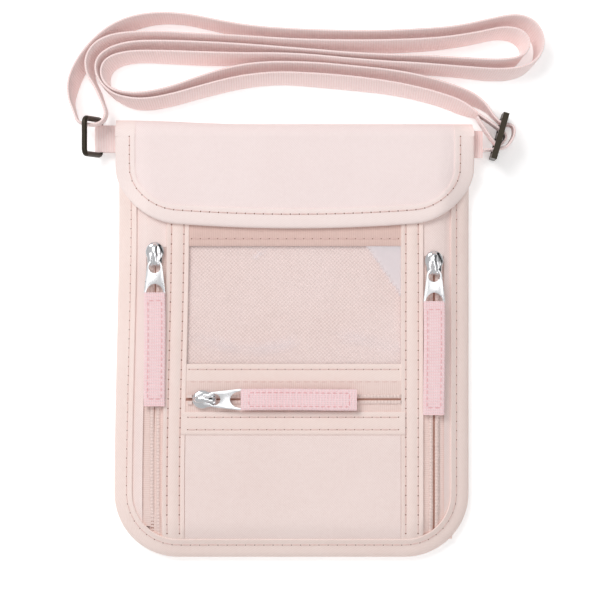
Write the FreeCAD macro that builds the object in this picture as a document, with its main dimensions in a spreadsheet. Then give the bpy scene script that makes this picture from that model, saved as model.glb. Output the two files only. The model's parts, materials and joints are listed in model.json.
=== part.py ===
import FreeCAD, Part
import math
import os

import Sketcher

# A neck pouch wallet, lying on its back: +X right, +Y towards the neck strap, +Z up
# through the front. The origin is the centre of the back face. Lengths are in millimetres.

Vector = FreeCAD.Vector
doc = FreeCAD.newDocument("NeckPouch")

# ---------------------------------------------------------------- driving dimensions

SIZES = {
    # the pouch as a whole
    "body_width": 154.0,
    "body_length": 190.0,
    "corner_radius": 28.0,
    "binding_width": 7.5,
    # thicknesses of its layers
    "binding_cloth": 0.8,
    "panel_cloth": 0.8,
    "shield_cloth": 0.3,
    "pocket_depth": 4.8,
    "divider_cloth": 0.6,
    "zip_space": 1.2,
    "tape_cloth": 0.4,
    "front_cloth": 0.6,
    "band_cloth": 0.6,
    "film_thick": 0.3,
    "front_pocket_lift": 1.2,
    # the front's layout
    "mouth_setback": 11.0,
    "band_width": 10.0,
    "left_band_x": 50.8,
    "right_band_x": 52.0,
    "left_zip_x": 60.0,
    "right_zip_x": 61.5,
    "side_zip_width": 8.8,
    "hem_width": 11.0,
    "hem_low": 41.0,
    "window_low": -10.3,
    "front_zip_y": -25.7,
    "front_zip_width": 10.8,
    "left_patch_low": 40.5,
    "right_patch_low": 36.6,
    # the flap
    "flap_length": 46.4,
    "flap_overhang": 1.2,
    "flap_radius": 26.0,
    "flap_binding_width": 8.4,
    "flap_clearance": 0.4,
    "flap_leg": 0.5,
    "grip_width": 26.0,
    "grip_length": 16.0,
    # zips
    "tape_gap": 1.4,
    "tape_width": 8.0,
    "coil_width": 4.4,
    "coil_thick": 1.2,
    "slider_length": 10.6,
    "slider_width": 8.3,
    "slider_plate": 1.0,
    "slider_clearance": 0.3,
    "bail_width": 2.2,
    "bail_thick": 0.9,
    "bail_tunnel": 1.7,
    "pull_length": 18.2,
    "pull_thick": 1.0,
    "pull_bar": 1.2,
    "ribbon_eye": 0.95,
    "pull_head_width": 6.4,
    "pull_tail_width": 9.7,
    "ribbon_length": 48.0,
    "ribbon_width": 9.3,
    "ribbon_cloth": 0.8,
    "left_slider_y": 37.6,
    "right_slider_y": 33.8,
    "front_slider_x": -38.5,
    # neck strap and its fittings
    "webbing_width": 12.0,
    "webbing_thick": 1.1,
    "tab_width": 9.6,
    "tab_length": 7.2,
    "tab_cloth": 1.3,
    "tab_y": 88.0,
    "end_tab_y": 85.5,
    "end_tab_length": 6.0,
    "end_tab_base": 4.0,
    "ring_y": 88.6,
    "ring_wire": 2.4,
    "ring_span": 15.4,
    "ring_height": 17.0,
    "ring_corner": 2.2,
    "ring_clearance": 0.1,
    "ring_lean": 20.0,
    "adjuster_length": 20.6,
    "adjuster_thick": 2.5,
    "adjuster_bar": 2.4,
    "adjuster_rail": 2.2,
    "webbing_clearance": 0.3,
    "film_overlap": 4.0,
    "hook_length": 13.0,
    "hook_thick": 0.5,
    "backing_setback": 0.4,
    "stop_length": 2.0,
    "stop_gap": 0.5,
    "slider_shoulder": 1.4,
    "slider_waist": 0.5,
    "slider_tail_share": 0.385,
    "slider_nose_share": 0.265,
    "post_setback": 2.8,
    "post_length": 2.0,
    "lip_setback": 1.8,
    "lip_drop": 0.7,
    "bail_half_length": 3.5,
    "bail_root": 0.2,
    "pull_nose": 0.6,
    "pull_head_end": 5.0,
    "pull_hole_end": 4.5,
    "pull_hole_gap": 0.4,
    "pull_prong": 1.1,
    "pull_arch": 3.4,
    "pull_arch_rise": 1.6,
    "ribbon_gap": 0.3,
    "ribbon_inset": 1.5,
}

sheet = doc.addObject("Spreadsheet::Sheet", "Sizes")
for row, (alias, value) in enumerate(SIZES.items(), start=1):
    sheet.set(f"A{row}", alias.replace("_", " "))
    sheet.set(f"B{row}", str(value))
    sheet.setAlias(f"B{row}", alias)
doc.recompute()


def size(alias):
    """The value of one driving dimension, for the few pieces made straight from shapes."""
    return float(sheet.get(alias))


def cell(alias):
    """An expression that reads one driving dimension."""
    return f"Sizes.{alias}"


# ---------------------------------------------------------------- derived levels and lines
# Each is an expression, so every piece that uses it follows the sheet.

HALF_WIDTH = "Sizes.body_width / 2"
LOW_END = "-Sizes.body_length / 2"
BACK_INNER = "Sizes.binding_cloth"
SHIELD_BASE = "(Sizes.binding_cloth + Sizes.panel_cloth)"
POCKET_BASE = f"({SHIELD_BASE} + Sizes.shield_cloth)"
DIVIDER_BASE = f"({POCKET_BASE} + Sizes.pocket_depth)"
TAPE_BASE = f"({DIVIDER_BASE} + Sizes.divider_cloth + Sizes.zip_space)"
FRONT_BASE = f"({TAPE_BASE} + Sizes.tape_cloth)"
BAND_BASE = f"({FRONT_BASE} + Sizes.front_cloth)"
BODY_TOP = f"({BAND_BASE} + Sizes.band_cloth)"
FLAP_BASE = f"({BODY_TOP} + Sizes.flap_clearance)"
FLAP_LINING = f"({FLAP_BASE} + Sizes.flap_leg)"
FLAP_PANEL = f"({FLAP_LINING} + Sizes.shield_cloth)"
FLAP_FRONT_LEG = f"({FLAP_PANEL} + Sizes.panel_cloth)"
FLAP_TOP = f"({FLAP_FRONT_LEG} + Sizes.flap_leg)"
FOLD_RADIUS = f"({FLAP_TOP} / 2)"
FOLD_Y = f"(Sizes.body_length / 2 - {FOLD_RADIUS})"
MOUTH_Y = "(Sizes.body_length / 2 - Sizes.mouth_setback)"
FLAP_LOW = "(Sizes.body_length / 2 - Sizes.flap_length)"
GRIP_HIGH = f"({FLAP_LOW} + Sizes.flap_binding_width + Sizes.hook_length)"
SIDE_IN = "Sizes.binding_cloth"
PANEL_LEFT = f"(-{HALF_WIDTH} + {SIDE_IN})"
PANEL_RIGHT = f"({HALF_WIDTH} - {SIDE_IN})"
PANEL_LOW = f"({LOW_END} + {SIDE_IN})"
PANEL_RADIUS = f"(Sizes.corner_radius - {SIDE_IN})"
LEFT_BAND_OUT = "(-Sizes.left_band_x - Sizes.band_width / 2)"
LEFT_BAND_IN = "(-Sizes.left_band_x + Sizes.band_width / 2)"
RIGHT_BAND_IN = "(Sizes.right_band_x - Sizes.band_width / 2)"
RIGHT_BAND_OUT = "(Sizes.right_band_x + Sizes.band_width / 2)"
LEFT_SIDE_IN = "(-Sizes.left_zip_x - Sizes.side_zip_width / 2)"
RIGHT_SIDE_IN = "(Sizes.right_zip_x + Sizes.side_zip_width / 2)"
BAND_LOW = f"({LOW_END} + Sizes.binding_width)"
LIFTED_TAPE = f"({TAPE_BASE} + Sizes.front_pocket_lift)"
FRONT_ZIP_HIGH = "(Sizes.front_zip_y + Sizes.front_zip_width / 2)"
FRONT_ZIP_LOW = "(Sizes.front_zip_y - Sizes.front_zip_width / 2)"

nodes = []  # every sub-part that is written out


def keep(piece, label):
    """Give a finished sub-part its own Label and add it to the parts that are written."""
    piece.Label = label
    nodes.append(piece)
    return piece


def place(piece, x, y, z, rotation=FreeCAD.Rotation()):
    """Bind a piece's position to three expressions, with a fixed rotation."""
    piece.Placement = FreeCAD.Placement(Vector(), rotation)
    for axis, value in zip("xyz", (x, y, z)):
        piece.setExpression(f"Placement.Base.{axis}", str(value))


# ---------------------------------------------------------------- shape helpers


def box(name, low, high):
    """A rectangular strip between two corners, each given as three expressions."""
    piece = doc.addObject("Part::Box", name)
    for side, a, b in zip(("Length", "Width", "Height"), low, high):
        piece.setExpression(side, f"({b}) - ({a})")
    place(piece, *low)
    return piece


def origin_plane(body, role):
    """One of a body's own origin planes."""
    return next(p for p in body.Origin.OriginFeatures if p.Role == role)


def outline(body, name, points, role="XY_Plane", offset="0"):
    """A closed polygon on one of the body's planes, every corner bound to two expressions."""
    sketch = body.newObject("Sketcher::SketchObject", name)
    sketch.AttachmentSupport = [(origin_plane(body, role), "")]
    sketch.MapMode = "FlatFace"
    sketch.setExpression("AttachmentOffset.Base.z", offset)
    start = [sheet_value(x) for x in points]
    count = len(points)
    for i in range(count):
        line = Part.LineSegment(Vector(*start[i], 0), Vector(*start[(i + 1) % count], 0))
        sketch.addGeometry(line, False)
    for i in range(count):
        sketch.addConstraint(Sketcher.Constraint("Coincident", i, 2, (i + 1) % count, 1))
    for i, (x, y) in enumerate(points):
        for kind, value, now in (("DistanceX", x, start[i][0]), ("DistanceY", y, start[i][1])):
            at = sketch.addConstraint(Sketcher.Constraint(kind, -1, 1, i, 1, now))
            label = f"{kind}{i}"
            sketch.renameConstraint(at, label)
            sketch.setExpression(f"Constraints.{label}", value)
    return sketch


def sheet_value(pair):
    """The present numbers of a pair of expressions."""
    return tuple(sheet.evalExpression(value.replace("Sizes.", "")) for value in pair)


def circle(body, name, x, y, radius, role="XY_Plane"):
    """A circle on one of the body's planes, bound to expressions."""
    sketch = body.newObject("Sketcher::SketchObject", name)
    sketch.AttachmentSupport = [(origin_plane(body, role), "")]
    sketch.MapMode = "FlatFace"
    now = sheet_value((x, y))
    wide = sheet_value((radius,))[0]
    sketch.addGeometry(Part.Circle(Vector(*now, 0), Vector(0, 0, 1), wide), False)
    values = (("DistanceX", x, now[0]), ("DistanceY", y, now[1]))
    for kind, value, present in values:
        at = sketch.addConstraint(Sketcher.Constraint(kind, -1, 1, 0, 3, present))
        sketch.renameConstraint(at, kind)
        sketch.setExpression(f"Constraints.{kind}", value)
    at = sketch.addConstraint(Sketcher.Constraint("Radius", 0, wide))
    sketch.renameConstraint(at, "Round")
    sketch.setExpression("Constraints.Round", radius)
    return sketch


def pad(body, sketch, length, midplane=False):
    """Add the sketch's thickness to the body."""
    feature = body.newObject("PartDesign::Pad", sketch.Name + "Pad")
    feature.Profile = sketch
    feature.setExpression("Length", length)
    feature.Midplane = midplane
    body.Tip = feature
    return feature


def pocket(body, sketch, length):
    """Cut the sketch's shape out of the body, evenly to both sides of its plane."""
    doc.recompute()
    before = body.Shape.Volume
    feature = body.newObject("PartDesign::Pocket", sketch.Name + "Pocket")
    feature.Profile = sketch
    feature.setExpression("Length", length)
    feature.Midplane = True
    body.Tip = feature
    doc.recompute()
    if not body.Shape.Volume < before:
        raise RuntimeError(f"{feature.Name} cut nothing")
    return feature


def plate(name, low, high, radius=None):
    """A flat piece between two corners, with its two lower corners rounded."""
    body = doc.addObject("PartDesign::Body", name)
    wide = f"({high[0]}) - ({low[0]})"
    long = f"({high[1]}) - ({low[1]})"
    corners = [("0", "0"), (wide, "0"), (wide, long), ("0", long)]
    sheet_pad = pad(body, outline(body, name + "Outline", corners), f"({high[2]}) - ({low[2]})")
    place(body, *low)
    doc.recompute()
    if radius:
        round_corners(body, sheet_pad, radius)
    return body


def round_corners(body, base, radius):
    """Round a plate's two lower corners, whose upright edges lie below the middle of the pouch."""
    tiny = 0.001
    names = []
    for number, edge in enumerate(base.Shape.Edges, start=1):
        a, b = edge.Vertexes[0].Point, edge.Vertexes[-1].Point
        if abs(a.x - b.x) < tiny and abs(a.y - b.y) < tiny and a.y < tiny:
            names.append(f"Edge{number}")
    fillet = body.newObject("PartDesign::Fillet", body.Name + "Corners")
    fillet.Base = (base, names)
    fillet.setExpression("Radius", radius)
    body.Tip = fillet
    return fillet


def cut(name, base, *tools):
    """A base piece with one or more tool pieces taken away."""
    tool = tools[0] if len(tools) == 1 else joined(name + "Tools", *tools)
    piece = doc.addObject("Part::Cut", name)
    piece.Base = base
    piece.Tool = tool
    return piece


def joined(name, *pieces):
    """Several pieces fused into one."""
    piece = doc.addObject("Part::MultiFuse", name)
    piece.Shapes = list(pieces)
    return piece


def group(name, *pieces):
    """Separate solids of one kind that share a node."""
    piece = doc.addObject("Part::Compound", name)
    piece.Links = list(pieces)
    return piece


def trimmed(label, strip, trim):
    """The part of a strip that lies inside a trimming outline."""
    piece = doc.addObject("Part::Common", label.title().replace("_", ""))
    piece.Base = strip
    piece.Tool = trim
    return piece


def body_outline(name, inset, base, top, past_mouth="0"):
    """A plate of the pouch's own outline, drawn in by an inset and running to the fold."""
    low = (f"-{HALF_WIDTH} + {inset}", f"{LOW_END} + {inset}", base)
    high = (f"{HALF_WIDTH} - {inset}", f"{FOLD_Y} + {past_mouth}", top)
    return plate(name, low, high, f"Sizes.corner_radius - {inset}")


# Trims that keep straight strips inside the binding: its channel, and its open middle.
IN_CHANNEL = body_outline("ChannelTrim", SIDE_IN, "-1", f"{BODY_TOP} + 1")
IN_WINDOW = body_outline("WindowTrim", cell("binding_width"), "-1", f"{BODY_TOP} + 1")


# ---------------------------------------------------------------- pouch body


def make_body():
    """Back, shield lining, divider and the binding that wraps all their edges."""
    inner = body_outline("BackInner", cell("binding_width"), "0", BACK_INNER)
    flange = body_outline("BackFlange", SIDE_IN, BACK_INNER, SHIELD_BASE)
    keep(joined("BackPanel", inner, flange), "back_panel")

    low = (PANEL_LEFT, PANEL_LOW, SHIELD_BASE)
    lining = plate("ShieldLining", low, (PANEL_RIGHT, MOUTH_Y, POCKET_BASE), PANEL_RADIUS)
    keep(lining, "shield_lining")

    low = (PANEL_LEFT, PANEL_LOW, DIVIDER_BASE)
    high = (PANEL_RIGHT, MOUTH_Y, f"{DIVIDER_BASE} + Sizes.divider_cloth")
    keep(plate("PocketDivider", low, high, PANEL_RADIUS), "pocket_divider")

    outside = body_outline("BindingOutside", "0", "0", BODY_TOP)
    channel = body_outline("BindingChannel", SIDE_IN, BACK_INNER, BAND_BASE, "1")
    window = body_outline("BindingWindow", cell("binding_width"), "-1", f"{BODY_TOP} + 1", "1")
    keep(cut("BodyBinding", outside, channel, window), "body_binding")


def make_top_fold():
    """The cloth that turns over the top edge from the back to the flap."""
    half = f"({HALF_WIDTH})"
    turn = FreeCAD.Rotation(Vector(0, 1, 0), 90)
    tubes = []
    for name, inset in (("FoldOutside", "0"), ("FoldInside", cell("panel_cloth"))):
        tube = doc.addObject("Part::Cylinder", name)
        tube.setExpression("Radius", f"{FOLD_RADIUS} - {inset}")
        tube.setExpression("Height", f"2 * {half}")
        tube.Angle = 180
        place(tube, f"-{half}", FOLD_Y, FOLD_RADIUS, turn)
        tubes.append(tube)
    keep(cut("TopFold", *tubes), "top_fold")


def make_front():
    """The front's cloth pieces, between the two side zips and outside them."""
    for label, left, right in (
        ("left_side_panel", PANEL_LEFT, LEFT_SIDE_IN),
        ("right_side_panel", RIGHT_SIDE_IN, PANEL_RIGHT),
    ):
        strip = box(label + "Strip", (left, PANEL_LOW, FRONT_BASE), (right, MOUTH_Y, BAND_BASE))
        keep(trimmed(label, strip, IN_CHANNEL), label)

    for label, left, right, low in (
        ("left_zip_patch", LEFT_SIDE_IN, LEFT_BAND_OUT, cell("left_patch_low")),
        ("right_zip_patch", RIGHT_BAND_OUT, RIGHT_SIDE_IN, cell("right_patch_low")),
    ):
        keep(box(label, (left, low, FRONT_BASE), (right, MOUTH_Y, BAND_BASE)), label)

    for label, left, right in (
        ("left_band", LEFT_BAND_OUT, LEFT_BAND_IN),
        ("right_band", RIGHT_BAND_IN, RIGHT_BAND_OUT),
    ):
        strip = box(label + "Strip", (left, BAND_LOW, FRONT_BASE), (right, MOUTH_Y, BODY_TOP))
        keep(trimmed(label, strip, IN_WINDOW), label)

    # Between the bands, from the mouth down: top panel, hem, window and its lower band.
    film_top = BAND_BASE
    film_base = f"{BAND_BASE} - Sizes.film_thick"
    film_high = "(Sizes.hem_low + Sizes.film_overlap)"
    band_top = "(Sizes.window_low)"
    hem_high = "(Sizes.hem_low + Sizes.hem_width)"
    window_stack = (
        ("front_top_panel", film_high, MOUTH_Y, FRONT_BASE, BAND_BASE),
        ("window_top_hem", cell("hem_low"), hem_high, BAND_BASE, BODY_TOP),
        ("window_film", f"({FRONT_ZIP_HIGH} + 1)", film_high, film_base, film_top),
        ("window_bottom_band", FRONT_ZIP_HIGH, band_top, BAND_BASE, BODY_TOP),
    )
    for label, low, high, base, top in window_stack:
        keep(box(label, (LEFT_BAND_IN, low, base), (RIGHT_BAND_IN, high, top)), label)

    low = (f"{LEFT_BAND_OUT} + Sizes.backing_setback", PANEL_LOW, f"{TAPE_BASE} - Sizes.tape_cloth")
    high = (f"{RIGHT_BAND_OUT} - Sizes.backing_setback", MOUTH_Y, TAPE_BASE)
    keep(trimmed("window_backing", box("BackingStrip", low, high), IN_CHANNEL), "window_backing")

    # The lower pocket stands one layer further forward than the side zips.
    panel_top = f"({LIFTED_TAPE} + Sizes.front_cloth)"
    low = (LEFT_BAND_IN, BAND_LOW, LIFTED_TAPE)
    keep(box("lower_pocket_panel", low, (RIGHT_BAND_IN, FRONT_ZIP_LOW, panel_top)), "lower_pocket_panel")
    low = (LEFT_BAND_IN, f"{FRONT_ZIP_LOW} - Sizes.band_width", panel_top)
    high = (RIGHT_BAND_IN, FRONT_ZIP_LOW, f"{panel_top} + Sizes.band_cloth")
    keep(box("lower_zip_band", low, high), "lower_zip_band")

    low = ("-Sizes.grip_width / 2", f"{GRIP_HIGH} - Sizes.grip_length", BAND_BASE)
    high = ("Sizes.grip_width / 2", GRIP_HIGH, BODY_TOP)
    keep(box("closure_loop_patch", low, high), "closure_loop_patch")


def make_flap():
    """The flap: panel, lining, the binding round its edge, and its closure patch."""
    half = f"({HALF_WIDTH} + Sizes.flap_overhang)"

    def layer(name, inset, base, top, past_fold="0"):
        low = (f"-{half} + {inset}", f"{FLAP_LOW} + {inset}", base)
        high = (f"{half} - {inset}", f"{FOLD_Y} + {past_fold}", top)
        return plate(name, low, high, f"Sizes.flap_radius - {inset}")

    keep(layer("FlapPanel", SIDE_IN, FLAP_PANEL, FLAP_FRONT_LEG), "flap_panel")
    keep(layer("FlapLining", SIDE_IN, FLAP_LINING, FLAP_PANEL), "flap_lining")
    outside = layer("FlapOutside", "0", FLAP_BASE, FLAP_TOP)
    channel = layer("FlapChannel", SIDE_IN, FLAP_LINING, FLAP_FRONT_LEG, "1")
    window = layer("FlapWindow", cell("flap_binding_width"), "-1", f"{FLAP_TOP} + 1", "1")
    keep(cut("FlapBinding", outside, channel, window), "flap_binding")

    low = ("-Sizes.grip_width / 2", f"{GRIP_HIGH} - Sizes.hook_length", f"{FLAP_LINING} - Sizes.hook_thick")
    high = ("Sizes.grip_width / 2", GRIP_HIGH, FLAP_LINING)
    keep(box("closure_hook_patch", low, high), "closure_hook_patch")


# ---------------------------------------------------------------- zips

ALONG_DOWN = FreeCAD.Rotation(Vector(0, 0, 1), -90)  # a zip's opening direction, from +X to -Y
ALONG_RIGHT = FreeCAD.Rotation()


def zip_strip(name, across, start, end, low, high, turned):
    """A strip along a zip: across gives its two edges from the zip's middle line."""
    middle, side_a, side_b = across
    if turned:
        return box(name, (f"{middle} + {side_a}", end, low), (f"{middle} + {side_b}", start, high))
    return box(name, (start, f"{middle} + {side_a}", low), (end, f"{middle} + {side_b}", high))


def make_chain(prefix, middle, start, end, base, turned, widths, coil_start):
    """Two tapes, the coil's two rows and the four stops of one zip."""
    half_gap = "Sizes.tape_gap / 2"
    tape_top = f"{base} + Sizes.tape_cloth"
    coil_top = f"{tape_top} + Sizes.coil_thick"
    sides = (("lower", -1, widths[0]), ("upper", 1, widths[1]))
    rows = []
    stops = []
    for side, sign, width in sides:
        inner = half_gap if sign > 0 else f"-({width})"
        outer = f"({width})" if sign > 0 else f"-{half_gap}"
        label = f"{prefix}_tape_{side}"
        strip = zip_strip(label + "Strip", (middle, inner, outer), start, end, base, tape_top, turned)
        keep(trimmed(label, strip, IN_CHANNEL), label)
        row_in = half_gap if sign > 0 else "-Sizes.coil_width / 2"
        row_out = "Sizes.coil_width / 2" if sign > 0 else f"-{half_gap}"
        across = (middle, row_in, row_out)
        back = "-" if turned else "+"
        stop_end = f"({coil_start}) {back} Sizes.stop_length"
        row_start = f"({coil_start}) {back} (Sizes.stop_length + Sizes.stop_gap)"
        row = zip_strip(f"{prefix}Strip{side}", across, row_start, end, tape_top, coil_top, turned)
        rows.append(trimmed(f"{prefix}Row{side}", row, IN_WINDOW))
        stop = zip_strip(f"{prefix}Stop{side}", across, coil_start, stop_end, tape_top, coil_top, turned)
        stops.append(stop)
    keep(group(f"{prefix}Coil", *rows), f"{prefix}_coil")
    keep(group(f"{prefix}Stops", *stops), f"{prefix}_stops")


def make_slider(prefix, x, y, base, rotation):
    """A cast slider: two plates joined by a post, side flanges, and the bail on top."""
    body = doc.addObject("PartDesign::Body", prefix + "Slider")
    half = "Sizes.slider_length / 2"
    wide = "Sizes.slider_width / 2"
    tail = "Sizes.slider_width * Sizes.slider_tail_share"
    nose = "Sizes.slider_width * Sizes.slider_nose_share"
    shape = [
        (f"-{half}", f"-{nose}"),
        (f"-{half} + Sizes.slider_shoulder", f"-{wide}"),
        (cell("slider_waist"), f"-{wide}"),
        (half, f"-{tail}"),
        (half, tail),
        (cell("slider_waist"), wide),
        (f"-{half} + Sizes.slider_shoulder", wide),
        (f"-{half}", nose),
    ]
    under = "Sizes.slider_clearance"
    under_top = f"-{under}"
    plate_low = f"(Sizes.tape_cloth + Sizes.coil_thick + {under})"
    thin = "(Sizes.slider_plate * 0.6)"
    bottom = outline(body, prefix + "Under", shape, offset=f"{under_top} - {thin}")
    pad(body, bottom, thin)
    post_start = f"-{half} + Sizes.post_setback"
    post_end = f"-{half} + Sizes.post_setback + Sizes.post_length"
    half_post = f"(Sizes.tape_gap / 2 - {under})"
    post = [
        (post_start, f"-{half_post}"),
        (post_end, f"-{half_post}"),
        (post_end, half_post),
        (post_start, half_post),
    ]
    pad(body, outline(body, prefix + "Post", post, offset=under_top), f"{plate_low} + {under}")
    pad(body, outline(body, prefix + "Over", shape, offset=plate_low), cell("slider_plate"))
    lip_in = f"(Sizes.coil_width / 2 + 2 * {under})"
    for name, sign in (("LipA", ""), ("LipB", "-")):
        lip = [
            (f"-{half} + Sizes.lip_setback", f"{sign}{lip_in}"),
            (cell("slider_waist"), f"{sign}{lip_in}"),
            (cell("slider_waist"), f"{sign}({wide})"),
            (f"-{half} + Sizes.lip_setback", f"{sign}({wide})"),
        ]
        lip_sketch = outline(body, prefix + name, lip, offset=f"{plate_low} - Sizes.lip_drop")
        pad(body, lip_sketch, cell("lip_drop"))
    top = f"({plate_low} + Sizes.slider_plate)"
    inside = f"({top} + Sizes.bail_tunnel)"
    crown = f"({inside} + Sizes.bail_thick)"
    out = cell("bail_half_length")
    leg = f"({out} - Sizes.bail_thick)"
    arch = [
        (f"-{out}", f"{top} - Sizes.bail_root"),
        (f"-{leg}", f"{top} - Sizes.bail_root"),
        (f"-{leg}", inside),
        (leg, inside),
        (leg, f"{top} - Sizes.bail_root"),
        (out, f"{top} - Sizes.bail_root"),
        (out, f"{inside} - Sizes.bail_root"),
        (leg, crown),
        (f"-{leg}", crown),
        (f"-{out}", f"{inside} - Sizes.bail_root"),
    ]
    pad(body, outline(body, prefix + "Bail", arch, role="XZ_Plane"), cell("bail_width"), midplane=True)
    place(body, x, y, base, rotation)
    return keep(body, f"{prefix}_slider")


def pivot_height(base):
    """The level of a pull's cross bar inside the slider's bail."""
    plate_top = "Sizes.tape_cloth + Sizes.coil_thick + Sizes.slider_clearance + Sizes.slider_plate"
    return f"{base} + {plate_top} + Sizes.bail_tunnel / 2"


def make_pull(prefix, x, y, base, rotation, tilt):
    """A stamped metal pull: a hole round the bail, and a slot and bar that hold the ribbon."""
    body = doc.addObject("PartDesign::Body", prefix + "Pull")
    head = "Sizes.pull_head_width / 2"
    tail = "Sizes.pull_tail_width / 2"
    end = "(Sizes.pull_length)"
    nose, head_end = cell("pull_nose"), cell("pull_head_end")
    shape = [
        (f"-{nose}", f"-({head} - 1)"),
        (nose, f"-{head}"),
        (head_end, f"-{head}"),
        (end, f"-{tail}"),
        (end, tail),
        (head_end, head),
        (nose, head),
        (f"-{nose}", f"({head} - 1)"),
    ]
    # the mid-plane pad keeps the plate level with the bail's tunnel
    pad(body, outline(body, prefix + "Plate", shape), cell("pull_thick"), midplane=True)
    hole_half = "(Sizes.bail_width / 2 + Sizes.pull_hole_gap)"
    hole_end = cell("pull_hole_end")
    hole = [(nose, f"-{hole_half}"), (hole_end, f"-{hole_half}"), (hole_end, hole_half), (nose, hole_half)]
    pocket(body, outline(body, prefix + "Hole", hole), "2 * Sizes.pull_thick")
    bar_in = f"({end} - Sizes.pull_bar)"
    slot_half = "(Sizes.pull_tail_width / 2 - Sizes.pull_prong)"
    slot_in = f"({bar_in} - Sizes.pull_arch)"
    slot = [
        (slot_in, f"-{slot_half} * 0.45"),
        (f"{slot_in} + Sizes.pull_arch_rise", f"-{slot_half}"),
        (bar_in, f"-{slot_half}"),
        (bar_in, slot_half),
        (f"{slot_in} + Sizes.pull_arch_rise", slot_half),
        (slot_in, f"{slot_half} * 0.45"),
    ]
    pocket(body, outline(body, prefix + "Slot", slot), "2 * Sizes.pull_thick")
    place(body, x, y, pivot_height(base), rotation.multiply(tilt))
    return keep(body, f"{prefix}_pull")


def make_ribbon(prefix, x, y, base, rotation, tilt):
    """The cloth ribbon: folded round the pull's bar and stitched flat to itself."""
    body = doc.addObject("PartDesign::Body", prefix + "Ribbon")
    bar = "(Sizes.pull_length - Sizes.pull_bar / 2)"
    reach = "(Sizes.pull_length + Sizes.ribbon_gap)"
    half = "Sizes.ribbon_width / 2"
    far = f"({reach} + Sizes.ribbon_length)"
    flat = [(reach, f"-{half}"), (far, f"-{half}"), (far, half), (reach, half)]
    pad(body, outline(body, prefix + "Flat", flat), "2 * Sizes.ribbon_cloth", midplane=True)
    fold_half = "(Sizes.pull_tail_width / 2 - Sizes.ribbon_inset)"
    eye = cell("ribbon_eye")
    roll = circle(body, prefix + "Fold", bar, "0", f"{eye} + Sizes.ribbon_cloth * 0.75", role="XZ_Plane")
    pad(body, roll, f"2 * {fold_half}", midplane=True)
    pocket(body, circle(body, prefix + "Eye", bar, "0", eye, role="XZ_Plane"), f"4 * {fold_half}")
    place(body, x, y, pivot_height(base), rotation.multiply(tilt))
    return keep(body, f"{prefix}_ribbon")


def make_zips():
    """The two side zips, which open downwards, and the front zip, which opens rightwards."""
    level = FreeCAD.Rotation()
    droop = FreeCAD.Rotation(Vector(0, 1, 0), 1.0)
    half_gap = "Sizes.tape_gap / 2"
    side_zips = (
        ("left_zip", "-Sizes.left_zip_x", cell("left_slider_y"), cell("left_patch_low")),
        ("right_zip", cell("right_zip_x"), cell("right_slider_y"), cell("right_patch_low")),
    )
    for prefix, x, slider_y, patch_low in side_zips:
        widths = (cell("tape_width"), cell("tape_width"))
        make_chain(prefix, x, MOUTH_Y, f"{BAND_LOW}", TAPE_BASE, True, widths, f"{patch_low}")
        make_slider(prefix, x, slider_y, TAPE_BASE, ALONG_DOWN)
        make_pull(prefix, x, slider_y, TAPE_BASE, ALONG_DOWN, droop)
        make_ribbon(prefix, x, slider_y, TAPE_BASE, ALONG_DOWN, droop)

    y = cell("front_zip_y")
    widths = ("Sizes.front_zip_width / 2", "Sizes.front_zip_width / 2")
    start, end = LEFT_BAND_IN, RIGHT_BAND_IN
    make_chain("front_zip", y, start, end, LIFTED_TAPE, False, widths, start)
    make_slider("front_zip", cell("front_slider_x"), y, LIFTED_TAPE, ALONG_RIGHT)
    make_pull("front_zip", cell("front_slider_x"), y, LIFTED_TAPE, ALONG_RIGHT, level)
    make_ribbon("front_zip", cell("front_slider_x"), y, LIFTED_TAPE, ALONG_RIGHT, level)


# ---------------------------------------------------------------- strap fittings


def make_ring_tab():
    """The folded tab on the left side, whose end loop holds the ring."""
    outer = "(Sizes.ring_wire / 2 + Sizes.ring_clearance + Sizes.tab_cloth)"
    x = f"(-{HALF_WIDTH} - Sizes.tab_length)"
    low_y = "(Sizes.tab_y - Sizes.tab_width / 2)"
    high_y = "(Sizes.tab_y + Sizes.tab_width / 2)"
    turn = FreeCAD.Rotation(Vector(1, 0, 0), -90)
    rounds = []
    for name, radius in (("TabRoll", outer), ("TabEye", f"{outer} - Sizes.tab_cloth")):
        roll = doc.addObject("Part::Cylinder", name)
        roll.setExpression("Radius", radius)
        roll.setExpression("Height", cell("tab_width"))
        place(roll, x, low_y, outer, turn)
        rounds.append(roll)
    low = (x, low_y, f"{outer} - Sizes.tab_cloth")
    tongue = box("TabTongue", low, (f"-{HALF_WIDTH}", high_y, f"{outer} + Sizes.tab_cloth"))
    keep(cut("RingTab", joined("TabWhole", rounds[0], tongue), rounds[1]), "ring_tab")


def make_strap_end_tab():
    """The strap's end, sewn into the right side of the pouch."""
    low = (HALF_WIDTH, "Sizes.end_tab_y - Sizes.webbing_width / 2", cell("end_tab_base"))
    right = f"{HALF_WIDTH} + Sizes.end_tab_length"
    high = (right, "Sizes.end_tab_y + Sizes.webbing_width / 2", "Sizes.end_tab_base + 2 * Sizes.webbing_thick")
    keep(box("strap_end_tab", low, high), "strap_end_tab")


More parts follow.
